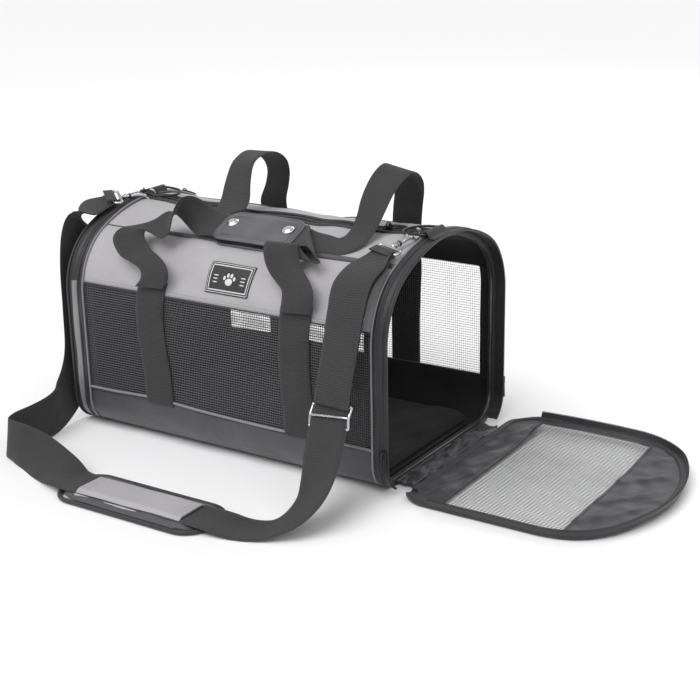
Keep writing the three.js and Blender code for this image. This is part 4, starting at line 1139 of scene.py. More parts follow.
def build_ring_tab(side, label, bar_x, z):
    """Webbing folded over the ring's bar, both ends sewn down on the arch."""
    low, high = cad_box(f"{label}_ring_tab")
    turn = np.linspace(np.pi * 0.5, -np.pi * 0.5, 13)
    floor = TOP_Z + 0.9
    loop = np.array([(-5.2, floor - z + 0.6), (-4.6, -0.8), (-3.4, 1.0), (-1.8, 2.6), (0, 3.1), (1.8, 2.6),
                     (3.4, 1.0), (4.8, -0.8), (6.4, floor - z + 0.4), (9.0, floor - z),
                     (12.5, floor - z - 0.4)])
    curve = catmull(np.column_stack([loop, np.zeros(len(loop))]), 34)
    y = np.linspace(low[1], high[1], 12)
    crown = -(y[None] ** 2) / (2 * CROWN_R) * 0.6
    settle = smooth(np.abs(curve[:, :1]), 2, 6) * crown
    grid = np.stack([bar_x + side * curve[:, :1] + 0 * y[None],
                     y[None] + 0 * curve[:, :1], z + curve[:, 1:2] + settle], axis=-1)
    seam = grid[-7] + np.array([0, 0, WEBBING_T * 0.6])
    webbing_piece(f"{label}_ring_webbing", "shell", [f"{label}_ring_tab"], [grid], [(seam, (0, 0, 1))])


def hook_frame(label):
    """The claw's centre and the hook's axes, from the CAD hook and its eye."""
    hook = read_points(NODES[f"{label}_hook"].data)
    eye = read_points(NODES[f"{label}_hook_eye"].data)
    joint = next(j for j in frame["joints"] if j["name"] == f"{label}_hook_swivel")
    claw = np.array(joint["pos_m"]) / MM
    a = np.array(joint["axis"], float)
    if (eye.mean(0) - claw) @ a < 0:
        a = -a
    n = unit(np.array([1.0, 0, 0]) - a * a[0])
    b = np.cross(n, a)
    loop = eye - claw
    spread = unit(np.linalg.eigh(np.cov(loop[(loop @ a) > 38].T))[1][:, -1])
    return claw, np.stack([a, b, n]), spread, hook


def tapered(shape, path, radii, sides=12, slot=0, up=None):
    side, ups = frames_along(np.asarray(path, float), up)
    turn = np.linspace(0, TAU, sides, endpoint=False)
    circle = np.column_stack([np.cos(turn), np.sin(turn)])
    radii = np.asarray(radii, float)
    ring = (np.asarray(path)[:, None] + side[:, None] * circle[None, :, :1] * radii[:, None, None]
            + ups[:, None] * circle[None, :, 1:] * radii[:, None, None])
    index = np.arange(len(path) * sides).reshape(-1, sides)
    after = np.roll(index, -1, axis=1)
    faces = np.stack([index[:-1], index[1:], after[1:], after[:-1]], axis=-1).reshape(-1, 4).tolist()
    faces += [index[0][::-1], index[-1]]
    return shape.add(ring, faces, None, [slot] * len(faces))


def local(points, claw, axes):
    return claw + np.asarray(points, float) @ axes


def build_hooks():
    for label in ("left", "right"):
        claw, axes, spread, _ = hook_frame(label)
        turn = np.radians(np.linspace(262, 20, 26))
        bend = np.column_stack([6.0 * np.cos(turn), 6.0 * np.sin(turn), 0 * turn])
        neck = np.array([(8.4, 1.0, 0), (11.5, -0.4, 0), (15, -1.0, 0), (19, -0.6, 0), (23, 0, 0),
                         (27, 0, 0), (29.6, 0, 0)])
        path = np.vstack([bend, neck])
        radii = np.concatenate([np.linspace(1.5, 1.9, 26), [2.2, 2.6, 2.9, 2.9, 2.5, 2.9, 3.2]])
        shape = Shape()
        tapered(shape, local(path, claw, axes), radii)
        tapered(shape, local([(14.5, -2, 0), (14, -4.2, 0), (12.8, -5.6, 0)], claw, axes), [2.0, 1.8, 1.6])
        tapered(shape, local([(24.4, 0, 0), (25.4, 0, 0), (26.4, 0, 0), (27.4, 0, 0)], claw, axes),
                [3.0, 3.7, 3.7, 3.0], 16, slot=1)
        shape.make(f"{label}_snap_hook", f"{label}_hook", "hook_steel", [nickel, black_metal],
                   [f"{label}_hook"])
        gate = Shape()
        tapered(gate, local([(12.0, -5.6, 0), (8, -5.7, 0), (4, -5.7, 0), (0.5, -5.6, 0)], claw, axes),
                [1.2, 1.3, 1.3, 1.1])
        tapered(gate, local([(7.5, -5.8, 0), (7.3, -7.4, 0), (7.1, -8.6, 0)], claw, axes), [0.9, 1.0, 1.5])
        gate.make(f"{label}_snap_gate", f"{label}_gate", "dark_metal", [black_metal], [f"{label}_hook_gate"])
        build_eye(label, claw, axes[0], spread)


def build_eye(label, claw, a, spread):
    """The swivel post and the wide loop the strap is sewn through."""
    shape = Shape()
    stations = [30.4, 31.0, 32.2, 33.0, 34.6, 36.4, 37.4]
    tapered(shape, [claw + a * t for t in stations], [2.6, 3.6, 3.6, 2.4, 2.4, 3.3, 2.6], 16)
    near, far, wide, corner = 38.6, 48.0, 17.2, 3.4
    outline = []
    for ca, cw, start in ((far - corner, wide - corner, 0), (near + corner, wide - corner, 90),
                          (near + corner, -wide + corner, 180), (far - corner, -wide + corner, 270)):
        for k in range(6):
            angle = math.radians(start + 18 * k)
            outline.append((ca + corner * math.cos(angle), cw + corner * math.sin(angle)))
    path = np.array([claw + a * p + spread * q for p, q in outline])
    shape.cord(path, 1.75, 10, up=np.cross(a, spread), closed=True)
    shape.make(f"{label}_strap_loop", "strap", "hook_steel", [nickel], [f"{label}_hook_eye"])


# ---- zip sliders -------------------------------------------------------------------------------

def slider_frames():
    """Centre, travel and outward directions of each slider, from its CAD solid's box."""
    result = {}
    for name, run, out in (("near_door", (0, 0, 1), (0, -1, 0)), ("far_door", (0, 0, 1), (0, 1, 0)),
                           ("top", (-1, 0, 0), (0, 0, 1)), ("left", None, None)):
        low, high = cad_box(f"{name}_slider")
        centre = (low + high) / 2
        if run is None:
            spoke = centre - np.array([centre[0], 0, CROWN_Z])
            out = unit(spoke)
            run = np.array([0, -out[2], out[1]])
        run, out = np.array(run, float), np.array(out, float)
        result[name] = (centre - out * 3.75, run, out)
    return result


def build_sliders():
    for name, (centre, run, out) in slider_frames().items():
        side = np.cross(run, out)
        axes = np.stack([side, run, out])
        shape = Shape()
        for size, height in (((8.6, 10.6, 1.3), 0.9), ((7.4, 9.8, 1.4), 3.4), ((3.0, 8.0, 2.0), 2.1)):
            verts, faces = rounded_box(*size, 0.45)
            shape.add(centre + (verts + (0, 0, height)) @ axes, faces)
        bridge = catmull([(0, -4.0, 3.6), (0, -3.2, 6.2), (0, -1.2, 7.4), (0, 1.2, 7.4), (0, 3.2, 6.2),
                          (0, 4.0, 3.6)], 16)
        shape.cord(centre + bridge @ axes, 0.75, 8, up=side)
        shape.make(f"{name}_zip_slider", f"{name}_slider", "dark_metal", [black_metal], [f"{name}_slider"])
        tab = Shape()
        turn = np.linspace(0, TAU, 20, endpoint=False)
        ring = np.column_stack([2.4 * np.cos(turn), -1.7 + 2.5 * np.sin(turn), np.full(20, 5.3)])
        tab.cord(centre + ring @ axes, 0.62, 8, up=out, closed=True)
        for size, y, z in (((6.2, 19.0, 1.5), -13.8, 5.3), ((4.2, 13.0, 0.6), -14.6, 6.2)):
            verts, faces = rounded_box(*size, min(0.6, size[2] * 0.4))
            narrow = 1 - 0.22 * smooth(verts[:, 1], 0, size[1] / 2)
            verts = verts * np.column_stack([narrow, np.ones(len(verts)), np.ones(len(verts))])
            tab.add(centre + (verts + (0, y, z)) @ axes, faces)
        tab.make(f"{name}_zip_pull", f"{name}_pull", "dark_metal", [black_metal], [f"{name}_pull"])


# ---- door ------------------------------------------------------------------------------------

DOOR_LOW, DOOR_HIGH = cad_box("door_panel")
DOOR_TIP = float(cad_box("door_binding")[1][0])
WINDOW_LOW, WINDOW_HIGH = cad_box("door_mesh")
WINDOW_START, WINDOW_END = float(WINDOW_LOW[0]), float(WINDOW_HIGH[0])
DOOR_EDGE = 6.5
WINDOW_EDGE = 12.0


def door_y(x, inset=0.0):
    """Half width of the open door at x, measured `inset` inside its outline."""
    half = LOOP_S < CROWN_S
    z = np.clip(np.asarray(x, float) - HINGE_X + HINGE_Z, 0, TOP_Z)
    y = -np.interp(z, LOOP_Z[half], LOOP_Y[half])
    rise = np.interp(z, LOOP_Z[half], LOOP_NZ[half])
    return np.maximum(y - inset / np.maximum(np.sqrt(1 - rise ** 2), 0.2), 0)


def door_lift(x, y):
    """Height of the door's cloth over the floor: a soft sheet whose far edge stays up a little."""
    free = smooth(x, HINGE_X + 4, HINGE_X + 40)
    far = 8.5 * smooth(y, 40, 145) * free * (0.75 + 0.25 * np.cos((x - 350) / 60.0))
    middle = 1.3 * np.sin(np.pi * np.clip((x - HINGE_X) / 265.0, 0, 1)) * (1 - (y / 150.0) ** 2)
    tip = 3.4 * smooth(x, 455, 505)
    return 3.4 + far + middle + tip


DOOR_FOLDS = (
    ((246, -96), (282, -20), 6, 4.6), ((250, -30), (286, 52), 7, 4.0), ((248, 40), (284, 104), 6, 4.4),
    ((262, -118), (286, -60), 5, 3.0), ((270, 60), (288, 128), 5, 3.2),
    ((436, -104), (474, -28), 7, 5.2), ((440, -50), (490, 22), 7, 4.4), ((438, 16), (486, 66), 7, 4.8),
    ((442, 74), (468, 112), 6, 4.0), ((452, -86), (496, -20), 5, 3.0),
)


def door_soft(x, y):
    total = 0.5 * ripple(x, y, 44, 61) + 0.3 * ripple(x, y, 20, 62)
    for start, end, width, height in DOOR_FOLDS:
        total = total + fold(x, y, start, end, width, height)
    return total


def door_sheet(x, t, inset, soft=1.0):
    x, t = np.broadcast_arrays(x, t)
    y = t * door_y(x, inset)
    z = door_lift(x, y) + soft * door_soft(x, y)
    return np.stack([x, y, np.maximum(z, 1.6)], axis=-1)


def sheet_normals(grid):
    normal = grid_normals(grid)
    return normal * np.where(normal[..., 2:] < 0, -1.0, 1.0)


def door_slab(shape, x, t, inset, half=1.0):
    grid = door_sheet(x, t, inset)
    return shape.slab(grid, sheet_normals(grid), half)


def door_edge(inset, lift, start=None):
    """Points along the door's edge, from its near hinge corner round the tip, with outward ways."""
    half = (LOOP_S < CROWN_S) & (LOOP_Z > (HINGE_Z + 1 if start is None else start))
    x, y = LOOP_Z[half] - HINGE_Z + HINGE_X, LOOP_Y[half]
    out_x, out_y = LOOP_NZ[half], LOOP_NY[half]
    x, y = np.concatenate([x, x[::-1]]), np.concatenate([y, -y[::-1]])
    out_x, out_y = np.concatenate([out_x, out_x[::-1]]), np.concatenate([out_y, -out_y[::-1]])
    out = unit(np.column_stack([out_x, out_y, 0 * x]))
    x, y = x - out[:, 0] * inset, y - out[:, 1] * inset
    z = door_lift(x, y) + lift
    return np.column_stack([x, y, z]), out


def thin_out(path, out, count):
    path, out = relax_rows(path, 12), relax_rows(out, 12)
    both = catmull(np.column_stack([path, out])[::6], count)
    return both[:, :3], unit(both[:, 3:])


def build_door():
    bodies = ["door_panel", "door_mesh", "door_binding", "door_zip_tape"]
    shape = Shape()
    door_slab(shape, np.linspace(HINGE_X + 1, WINDOW_START + 1.5, 24)[:, None],
              np.linspace(-1, 1, 120)[None], DOOR_EDGE)
    door_slab(shape, np.linspace(WINDOW_END - 1.5, DOOR_TIP - 6, 40)[:, None],
              np.linspace(-1, 1, 110)[None], DOOR_EDGE)
    for side in (-1, 1):
        x = np.linspace(WINDOW_START - 2, WINDOW_END + 2, 70)
        outer, inner = door_y(x, DOOR_EDGE), door_y(x, WINDOW_EDGE)
        t = np.linspace(0, 1, 4)
        y = side * (outer[:, None] + (inner - outer)[:, None] * t)
        grid = np.stack([x[:, None] + 0 * y, y, door_lift(x[:, None], y)], axis=-1)
        shape.slab(grid, sheet_normals(grid), 1.1)
    for edge in (WINDOW_START - 3.0, WINDOW_END + 3.0):
        y = np.linspace(-1, 1, 90) * door_y(edge, WINDOW_EDGE)
        rim = door_sheet(np.full(90, edge), y / door_y(edge, DOOR_EDGE), DOOR_EDGE)
        stitches(shape, rim + (0, 0, 1.1), (0, 0, 1), slot=1)
        shape.cord(rim + (2.4 if edge < 350 else -2.4, 0, 0.9), 1.5, 8, up=(0, 0, 1), squash=0.7)
    shape.make("door_cloth", "right_door", "dark_fabric", [door_cloth, dark_stitch], [bodies[0]])

    def point(u, v):
        z = door_lift(u, v) - 0.2 + 0.25 * ripple(u, v, 40, 64)
        normal = np.tile([0.0, 0.0, 1.0], (len(u), 1))
        return np.column_stack([u, v, z]), normal

    def keep(u, v, across):
        if across:
            reach = float(door_y(u[0], WINDOW_EDGE))
            return u, np.linspace(-reach, reach, len(v))
        spots = np.linspace(WINDOW_START, WINDOW_END, 90)
        inside = spots[door_y(spots, WINDOW_EDGE) > abs(v[0])]
        if len(inside) < 2:
            return None, None
        return np.linspace(inside[0], inside[-1], len(u)), v

    net = net_threads(Shape(), point, (WINDOW_START, WINDOW_END), (WINDOW_LOW[1], WINDOW_HIGH[1]),
                      *NET_WEAVE["door"], keep)
    net.make("door_netting", "right_door", "netting", [net_thread], [bodies[1]])
    build_door_rim(bodies)


TAPE_RISE = 44.0                     # the zip starts this high on the arch


def hinge_edge(path, out):
    """Carries the rim from the far hinge corner back along the hinge line, to close the loop."""
    corner = min(abs(path[0, 1]), abs(path[-1, 1])) - 9.0
    y = np.linspace(corner, -corner, 420)
    back = np.column_stack([np.full(len(y), HINGE_X + 5.6), y, np.full(len(y), path[:, 2].min() + 0.3)])
    return np.vstack([path, back]), np.vstack([out, np.tile([-1.0, 0.0, 0.0], (len(y), 1))])


def build_door_rim(bodies):
    path, out = thin_out(*hinge_edge(*door_edge(3.6, 0.6)), 260)
    shape = Shape()
    up = np.tile([0.0, 0.0, 1.0], (len(path), 1))
    outline = np.array([(-4.1, -1.4), (-3.0, 1.6), (-0.6, 2.8), (1.6, 2.4), (3.6, 3.0), (4.2, 0.4),
                        (3.4, -2.2), (0, -2.8), (-3.0, -2.4)])
    wobble = 0.35 * ripple(path[:, 0], path[:, 1], 50, 66)
    shape.sweep(path + up * wobble[:, None], out, up, outline)
    for offset in (-2.2, 1.0):
        stitches(shape, path + out * offset + up * (2.75 + wobble[:, None]), up, slot=1)
    shape.make("door_rim", "right_door", "dark_fabric", [trim_cloth, dark_stitch], [bodies[2]])
    path, out = thin_out(*door_edge(0.9, 0.0, float(TAPE_RISE)), 190)
    up = np.tile([0.0, 0.0, 1.0], (len(path), 1))
    lean = unit(up + out * 0.35)
    tape = Shape()
    outline = np.array([(-0.6, 2.2), (0.7, 2.2), (1.0, 5.0), (0.75, 8.4), (0.5, 9.6), (-0.5, 9.6), (-0.6, 6)])
    tape.sweep(path, np.cross(lean, unit(np.gradient(path, axis=0))) * -1, lean, outline)
    teeth = path + lean * 9.7
    stitches(tape, teeth, out, pitch=2.1, length=2.7, width=1.5, slot=1, across=True)
    tape.make("door_zip", "right_door", "zip_tape", [trim_cloth, coil_nylon], [bodies[3]])


def build_sill():
    """The slack strip of lining that joins the shell's floor to the door."""
    x = np.linspace(ARCH_X + 5, HINGE_X + 4, 26)[:, None]
    y = np.linspace(-101, 101, 120)[None]
    x, y = np.broadcast_arrays(x, y)
    middle = np.sin(np.pi * np.clip((x - ARCH_X) / 38.0, 0, 1))
    z = 3.2 + middle * (1.6 + 1.5 * ripple(x * 2.2, y, 42, 71) + 0.7 * ripple(x * 2, y, 18, 72))
    z = z + fold(x, y, (216, 20), (240, 92), 5, 5.5) + fold(x, y, (218, -80), (240, -16), 5, 4.0)
    grid = np.stack([x, y, np.maximum(z, 1.5)], axis=-1)
    shape = Shape().slab(grid, sheet_normals(grid), 0.9)
    for x_cord, radius in ((ARCH_X + 7.5, 1.9), (HINGE_X - 4, 1.7)):
        path = np.column_stack([np.full(60, x_cord), np.linspace(-103, 103, 60), np.full(60, 4.6)])
        path[:, 2] += 0.4 * ripple(path[:, 1], path[:, 0], 46, 73)
        shape.cord(path, radius, 8, up=(0, 0, 1))
    obj = shape.make("door_gusset", None, "dark_fabric", [door_cloth], ["right_door_sill"])
    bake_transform(obj)


def build_net_end_shade_bands():
    """Black sheets just inside both arches, behind the ends of the nets: painted shade that darkens what
    shows through the nets there.
    """
    for end, start, stop in (("right", 197.5, EDGE_X), ("left", -EDGE_X, -197.5)):
        for side, label, net_top in ((-1, "near", NEAR_NET_TOP), (1, "far", FAR_NET_TOP)):
            s = sorted(side * -1 * near_s(z) for z in (BASE_Z - 6, net_top + 2))
            middle, normal = skin_grid(start, stop, *s, -3.6, 6, 60)
            soft = 0.4 * ripple(middle[..., 2], middle[..., 0] * 3, 60, 75)[..., None]
            Shape().slab(middle - normal * np.abs(soft), normal, 0.7).make(
                f"{label}_{end}_net_end_shade_band", "shell", "lining", [lining_cloth])


# ---- handles and grip --------------------------------------------------------------------------

GRIP_CENTRE = (np.array(cad_box("grip_back")[0]) + np.array(cad_box("grip_flap")[1])) / 2
GRIP_TILT = math.radians(24)
GRIP_V = np.array([0, math.cos(GRIP_TILT), math.sin(GRIP_TILT)])
GRIP_N = np.array([0, -math.sin(GRIP_TILT), math.cos(GRIP_TILT)])
GRIP_AXES = np.stack([np.array([1.0, 0, 0]), GRIP_V, GRIP_N])
GRIP_HALF_X = 56.0
GRIP_HALF_V = 26.0
GRIP_R = 16.0


def grip_run(layer):
    rows = []
    for x in (-58, -46, -28, 0, 28, 46, 58):
        place = GRIP_CENTRE + GRIP_N * layer
        rows.append([GRIP_CENTRE[0] + x, place[1], place[2], *GRIP_V])
    return rows


def near_handle_rows():
    return [
        [-99, -143.6, 200, 1, 0, 0.06], [-89, -144.2, 212, 1, 0, 0.1], [-90, -143.6, 225, 0.98, 0, 0.19],
        [-107, -138, 232, 0.96, 0.14, 0.24], [-126, -131.5, 236, 0.93, 0.27, 0.24],
        [-140, -125.5, 245, 0.93, 0.31, 0.16], [-144.5, -122, 254, 0.96, 0.24, 0.12],
        [-137, -118.5, 262, 0.99, 0.02, 0.1], [-119, -115, 261, 0.9, -0.35, -0.15],
        [-107, -110, 263, 0.72, -0.6, -0.34], [-98, -103, 271, 0.62, -0.65, -0.42],
        [-93, -96, 280, 0.52, -0.8, 0.2], [-83, -90, 284, 0.28, -0.42, 0.86],
        [-68, -84, 277.5, -0.1, 0.35, 0.93], [-58, -79, 271.5, -0.12, 0.82, 0.55],
        *grip_run(1.8),
        [84, -80, 270, -0.25, 0.9, 0.3], [102, -97, 271, -0.5, 0.82, 0.05],
        [112, -102, 260.5, -0.62, 0.74, 0.1], [115, -108, 253.5, -0.8, 0.55, -0.1],
        [103, -112, 253, -0.95, 0.3, 0], [86.5, -111, 259.5, -1, 0.1, 0], [73.5, -108, 267.5, -1, 0, 0],
        [76.5, -116, 266.5, -0.97, -0.23, -0.1], [80.5, -121, 253, -0.96, -0.23, -0.13],
        [89, -126, 241.5, -0.97, -0.14, -0.18], [103, -134, 234, -0.98, -0.08, -0.2],
        [114, -140, 225.5, -1, 0, -0.1], [116, -143.8, 214, -1, 0, -0.08], [113, -143.6, 200, -1, 0, -0.08],
    ]


def far_handle_rows():
    return [
        [-112, 143.6, 200, 1, 0, 0], [-111, 135, 226, 1, 0, 0], [-102, 117, 254, 1, 0, 0.1],
        [-84, 102, 280, 1, -0.15, 0.1], [-71, 88, 303, 1, -0.2, 0.1], [-66, 71, 322, 1, -0.15, 0.1],
        [-71, 50, 333, 1, -0.1, 0.05], [-75, 22, 325, 1, -0.2, 0.15], [-69, 0, 305, 1, -0.1, 0.1],
        [-57, -24, 285, 1, 0.1, 0.1], [-54, -44, 275, 0.95, 0.3, 0.15], [-58, -60, 270, 0.6, 0.75, 0.3],
        *grip_run(-1.8),
        [89, -73, 262, -0.2, 0.93, 0.34], [111, -67, 260, -0.5, 0.84, 0.3],
        [126, -65, 260, -0.62, 0.76, 0.2], [135, -47, 268, -0.83, 0.52, 0.12],
        [134, -26, 281, -0.9, 0.4, 0.15], [129, -2, 297.5, -0.97, 0.2, 0.08],
        [125, 20, 311, -1, 0.14, 0.1], [124, 41, 322, -1, 0.07, 0.15], [126, 61, 328, -1, 0, 0.17],
        [125, 82, 316, -1, 0.05, 0.15], [116, 101, 291, -1, 0, -0.12], [106, 114, 267, -1, 0, -0.08],
        [95, 130, 236, -1, 0, -0.07], [88, 143.6, 200, -1, 0, 0],
    ]


def build_handles():
    for label, rows in (("near", near_handle_rows()), ("far", far_handle_rows())):
        grid = ribbon_grid(rows, 210, width=HANDLE_W, square=False)
        normal = grid_normals(grid)
        shape = Shape().slab(grid, normal, WEBBING_T / 2)
        for column, face in ((0, 1), (0, -1), (-1, 1), (-1, -1)):
            inward = unit(grid[:, 1] - grid[:, 0]) * (3.2 if column == 0 else -3.2)
            path = grid[:, column] + inward + normal[:, column] * face * (WEBBING_T / 2 + 0.05)
            stitches(shape, path, normal[:, column] * face, pitch=4.0, slot=1)
        obj = shape.make(f"{label}_carry_handle", None, "webbing", [webbing_cloth, dark_stitch],
                         [f"{label}_handle"])
        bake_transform(obj)


def grip_depth(x, v):
    """Distance inside the grip plate's rounded outline."""
    corner_x = np.maximum(np.abs(x) - (GRIP_HALF_X - GRIP_R), 0)
    corner_v = np.maximum(np.abs(v) - (GRIP_HALF_V - GRIP_R), 0)
    inner = np.minimum(GRIP_HALF_X - np.abs(x), GRIP_HALF_V - np.abs(v))
    return np.where((corner_x > 0) & (corner_v > 0), GRIP_R - np.hypot(corner_x, corner_v), inner)


def grip_bend(x, v):
    droop = -1.6 * (np.abs(x) / GRIP_HALF_X) ** 3
    return droop + 0.35 * ripple(x, v, 70, 81)


def grip_points(x, v, out):
    local_points = np.stack([x, v, out + grip_bend(x, v)], axis=-1)
    return GRIP_CENTRE + local_points @ GRIP_AXES


def build_grip():
    turn = np.linspace(0, np.pi, 56)
    x = (-np.cos(turn) * GRIP_HALF_X)[:, None]
    corner = np.maximum(np.abs(x) - (GRIP_HALF_X - GRIP_R), 0)
    half = GRIP_HALF_V - GRIP_R + np.sqrt(np.maximum(GRIP_R ** 2 - corner ** 2, 0.5))
    v = half * np.sin(np.linspace(-np.pi / 2, np.pi / 2, 34))[None]
    x = x + 0 * v
    for name, body, node, face in (("grip_wrap", "handles", "grip_back", -1),
                                   ("grip_wrap_flap", "grip_flap", "grip_flap", 1)):
        depth = grip_depth(x, v)
        border = 1.0 * (1 - smooth(depth, 5.2, 6.6)) - 0.8 * (1 - smooth(depth, 0, 2.6))
        groove = -0.35 * np.exp(-((depth - 7.0) / 0.9) ** 2)
        middle = 0.9 * smooth(depth, 8, 20)
        out = face * (3.9 + (border + groove + middle) * 0.9)
        grid = grip_points(x, v, out)
        shape = Shape().slab(grid, face * np.abs(grid_normals(grid)) * np.sign(GRIP_N + 1e-9), 1.0)
        for inset in (2.8, 8.4):
            loop = rounded_loop(GRIP_HALF_X - inset, GRIP_HALF_V - inset, max(GRIP_R - inset, 4), 30)
            rise = 5.0 if inset < 5 else 4.95
            path = grip_points(loop[:, 0], loop[:, 1], face * (rise + (0.85 if inset < 5 else 0)))
            stitches(shape, path, GRIP_N * face, pitch=3.2, slot=1)
        shape.make(name, body, "leatherette", [leatherette, dark_stitch], [node])
    build_grip_spine()
    build_snaps()


def build_grip_spine():
    """The folded edge that joins the two halves of the grip."""
    x = np.linspace(-GRIP_HALF_X + GRIP_R - 2, GRIP_HALF_X - GRIP_R + 2, 30)[:, None]
    turn = np.linspace(-np.pi / 2, np.pi / 2, 12)[None]
    v = GRIP_HALF_V - 1.5 + 3.2 * np.cos(turn) + 0 * x
    out = 4.3 * np.sin(turn) + 0 * x
    local_points = np.stack([x + 0 * v, v, out + grip_bend(x, v)], axis=-1)
    grid = GRIP_CENTRE + local_points @ GRIP_AXES
    Shape().slab(grid, grid_normals(grid), 0.8).make(
        "grip_spine", "handles", "leatherette", [leatherette])


def rounded_loop(half_x, half_y, radius, steps):
    points = []
    for cx, cy, start in ((1, -1, -90), (1, 1, 0), (-1, 1, 90), (-1, -1, 180)):
        turn = np.radians(np.linspace(start, start + 90, steps))
        points.append(np.column_stack([cx * (half_x - radius) + radius * np.cos(turn),
                                       cy * (half_y - radius) + radius * np.sin(turn)]))
    loop = np.vstack(points)
    return np.vstack([loop, loop[:1]])


def build_snaps():
    for label in ("left", "right"):
        low, high = cad_box(f"{label}_snap_cap")
        centre = (low + high) / 2
        heights = np.array([-1.9, -0.8, -0.2, 0.3, 0.5, 1.1, 1.7, 1.95])
        radii = [7.3, 7.6, 7.2, 6.3, 5.9, 5.4, 3.6, 0.4]
        shape = Shape()
        tapered(shape, centre + GRIP_N * heights[:, None], radii, 28, up=(1, 0, 0))
        shape.make(f"{label}_snap", "grip_flap", "snap_steel", [snap_steel], [f"{label}_snap_cap"])


# ---- shoulder strap -------------------------------------------------------------------------------

def strap_rows(left_end, right_end):
    return [
        [*left_end, 0.66, -0.52, -0.2], [-254, -82, 262, 0.3, -0.85, -0.3],
        [-257, -94, 243, 0, -0.97, -0.15], [-258, -102, 200, 0, -1, 0],
        [-258, -104, 140, 0, -1, 0], [-257, -108, 88, 0, -1, 0.1], [-254, -122, 54, -0.1, -0.8, 0.6],
        [-249, -146, 32, -0.2, -0.2, 0.95], [-236, -180, 26, -0.2, 0.15, 0.95],
        [-231, -220, 25.5, -0.1, 0.1, 1], [-235, -252, 25.5, 0.1, 0, 1],
        [-229, -268, 25.5, 0.2, 0, 0.97], [-208, -273, 25, 0.1, 0.2, 0.95],
        [-178, -275, 20, 0, 0.55, 0.83], [-145, -281, 13.5, 0, 0.85, 0.5],
        [-119, -288, 11, 0, 0.98, 0.18], [-106, -292, 8.9, 0, 1, 0.03], [-90, -293.5, 8.2, 0, 1, 0],
        [-50, -294, 8.2, 0, 1, 0], [1, -294, 8.2, 0, 1, 0], [52, -294, 8.2, 0, 1, 0],
        [97, -294, 8.2, 0, 1, 0], [114, -292, 6.5, 0, 1, 0], [132, -288, 2.8, -0.05, 1, 0],
        [150, -282, 1.8, -0.15, 1, 0], [168, -273, 5, -0.3, 0.95, 0], [186, -258, 17, -0.55, 0.83, 0.1],
        [194, -238, 34, -0.8, 0.6, 0.05], [189, -214, 54, -0.95, 0.3, 0], [181, -192, 76, -1, 0.1, 0],
        [176, -173, 102, -1, 0.15, 0], [177, -162, 140, -1, 0.17, 0], [181, -155, 180, -1, 0.15, -0.1],
        [183, -147, 212, -1, 0.1, -0.12], [183, -128, 240, -1, 0, -0.12],
        [*right_end, -1, 0, -0.12]]


def tail_rows(right_end):
    return [
        [*right_end, -1, 0, -0.12], [183, -131, 244.5, -1, 0, -0.12], [184, -151, 214, -1, 0.1, -0.12],
        [182, -159, 180, -1, 0.15, -0.1], [178, -166, 140, -1, 0.17, 0],
        [177.5, -174, 112, -1, 0.15, 0]]


def strap_end(label):
    claw, axes, _, _ = hook_frame(label)
    return claw + axes[0] * 49.3


def edge_seams(shape, grid, inset=3.0, pitch=4.0):
    normal = grid_normals(grid)
    for column, sign in ((0, 1), (-1, -1)):
        inward = unit(grid[:, 1] - grid[:, 0]) * inset * sign
        for face in (1, -1):
            path = grid[:, column] + inward + normal[:, column] * face * (WEBBING_T / 2 + 0.05)
            stitches(shape, path, normal[:, column] * face, pitch=pitch, slot=1)


def build_strap():
    left, right = strap_end("left"), strap_end("right")
    rows = strap_rows(left + (-0.6, -0.4, -2.4), right + (0, -1.2, -2.6))
    grid = ribbon_grid(rows, 320, pinch=(0.6, 0.6))
    shape = Shape().slab(grid, grid_normals(grid), WEBBING_T / 2)
    edge_seams(shape, grid)
    shape.make("sling", "strap", "webbing", [webbing_cloth, dark_stitch], ["shoulder_strap"])
    tail = ribbon_grid(tail_rows(right + (-0.8, -3.4, 0.4)), 70, pinch=(0.6, 1))
    tail_shape = Shape().slab(tail, grid_normals(tail), WEBBING_T / 2)
    edge_seams(tail_shape, tail)
    for t in (-9, -14):
        row = tail[t] + grid_normals(tail)[t] * WEBBING_T * 0.6
        stitches(tail_shape, row, -grid_normals(tail)[t], slot=1)
        stitches(tail_shape, tail[t] - grid_normals(tail)[t] * WEBBING_T * 0.6, grid_normals(tail)[t], slot=1)
    tail_shape.make("sling_tail", "strap", "webbing", [webbing_cloth, dark_stitch], ["strap_tail"])
    for label in ("left", "right"):
        build_strap_fold(label)
    build_adjuster(rows)
    build_pad()


def build_strap_fold(label):
    """The turn of webbing through the hook's loop."""
    claw, axes, spread, _ = hook_frame(label)
    a = axes[0]
    t = unit(np.cross(a, spread))
    if t[2] < 0:
        t = -t
    turn = np.radians(np.linspace(-100, 100, 14))
    centre = claw + a * 48.0
    path = centre - (a * np.cos(turn)[:, None] - t * np.sin(turn)[:, None]) * 3.4
    extra = path[-1] + a * np.linspace(1.5, 9, 5)[:, None]
    under = path[0] + a * np.linspace(9, 1.5, 5)[:, None]
    path = np.vstack([under, path, extra])
    width = np.linspace(-14.5, 14.5, 7)
    grid = path[:, None] + spread * width[None, :, None]
    webbing_piece(f"{label}_strap_fold", "strap", (), [grid])


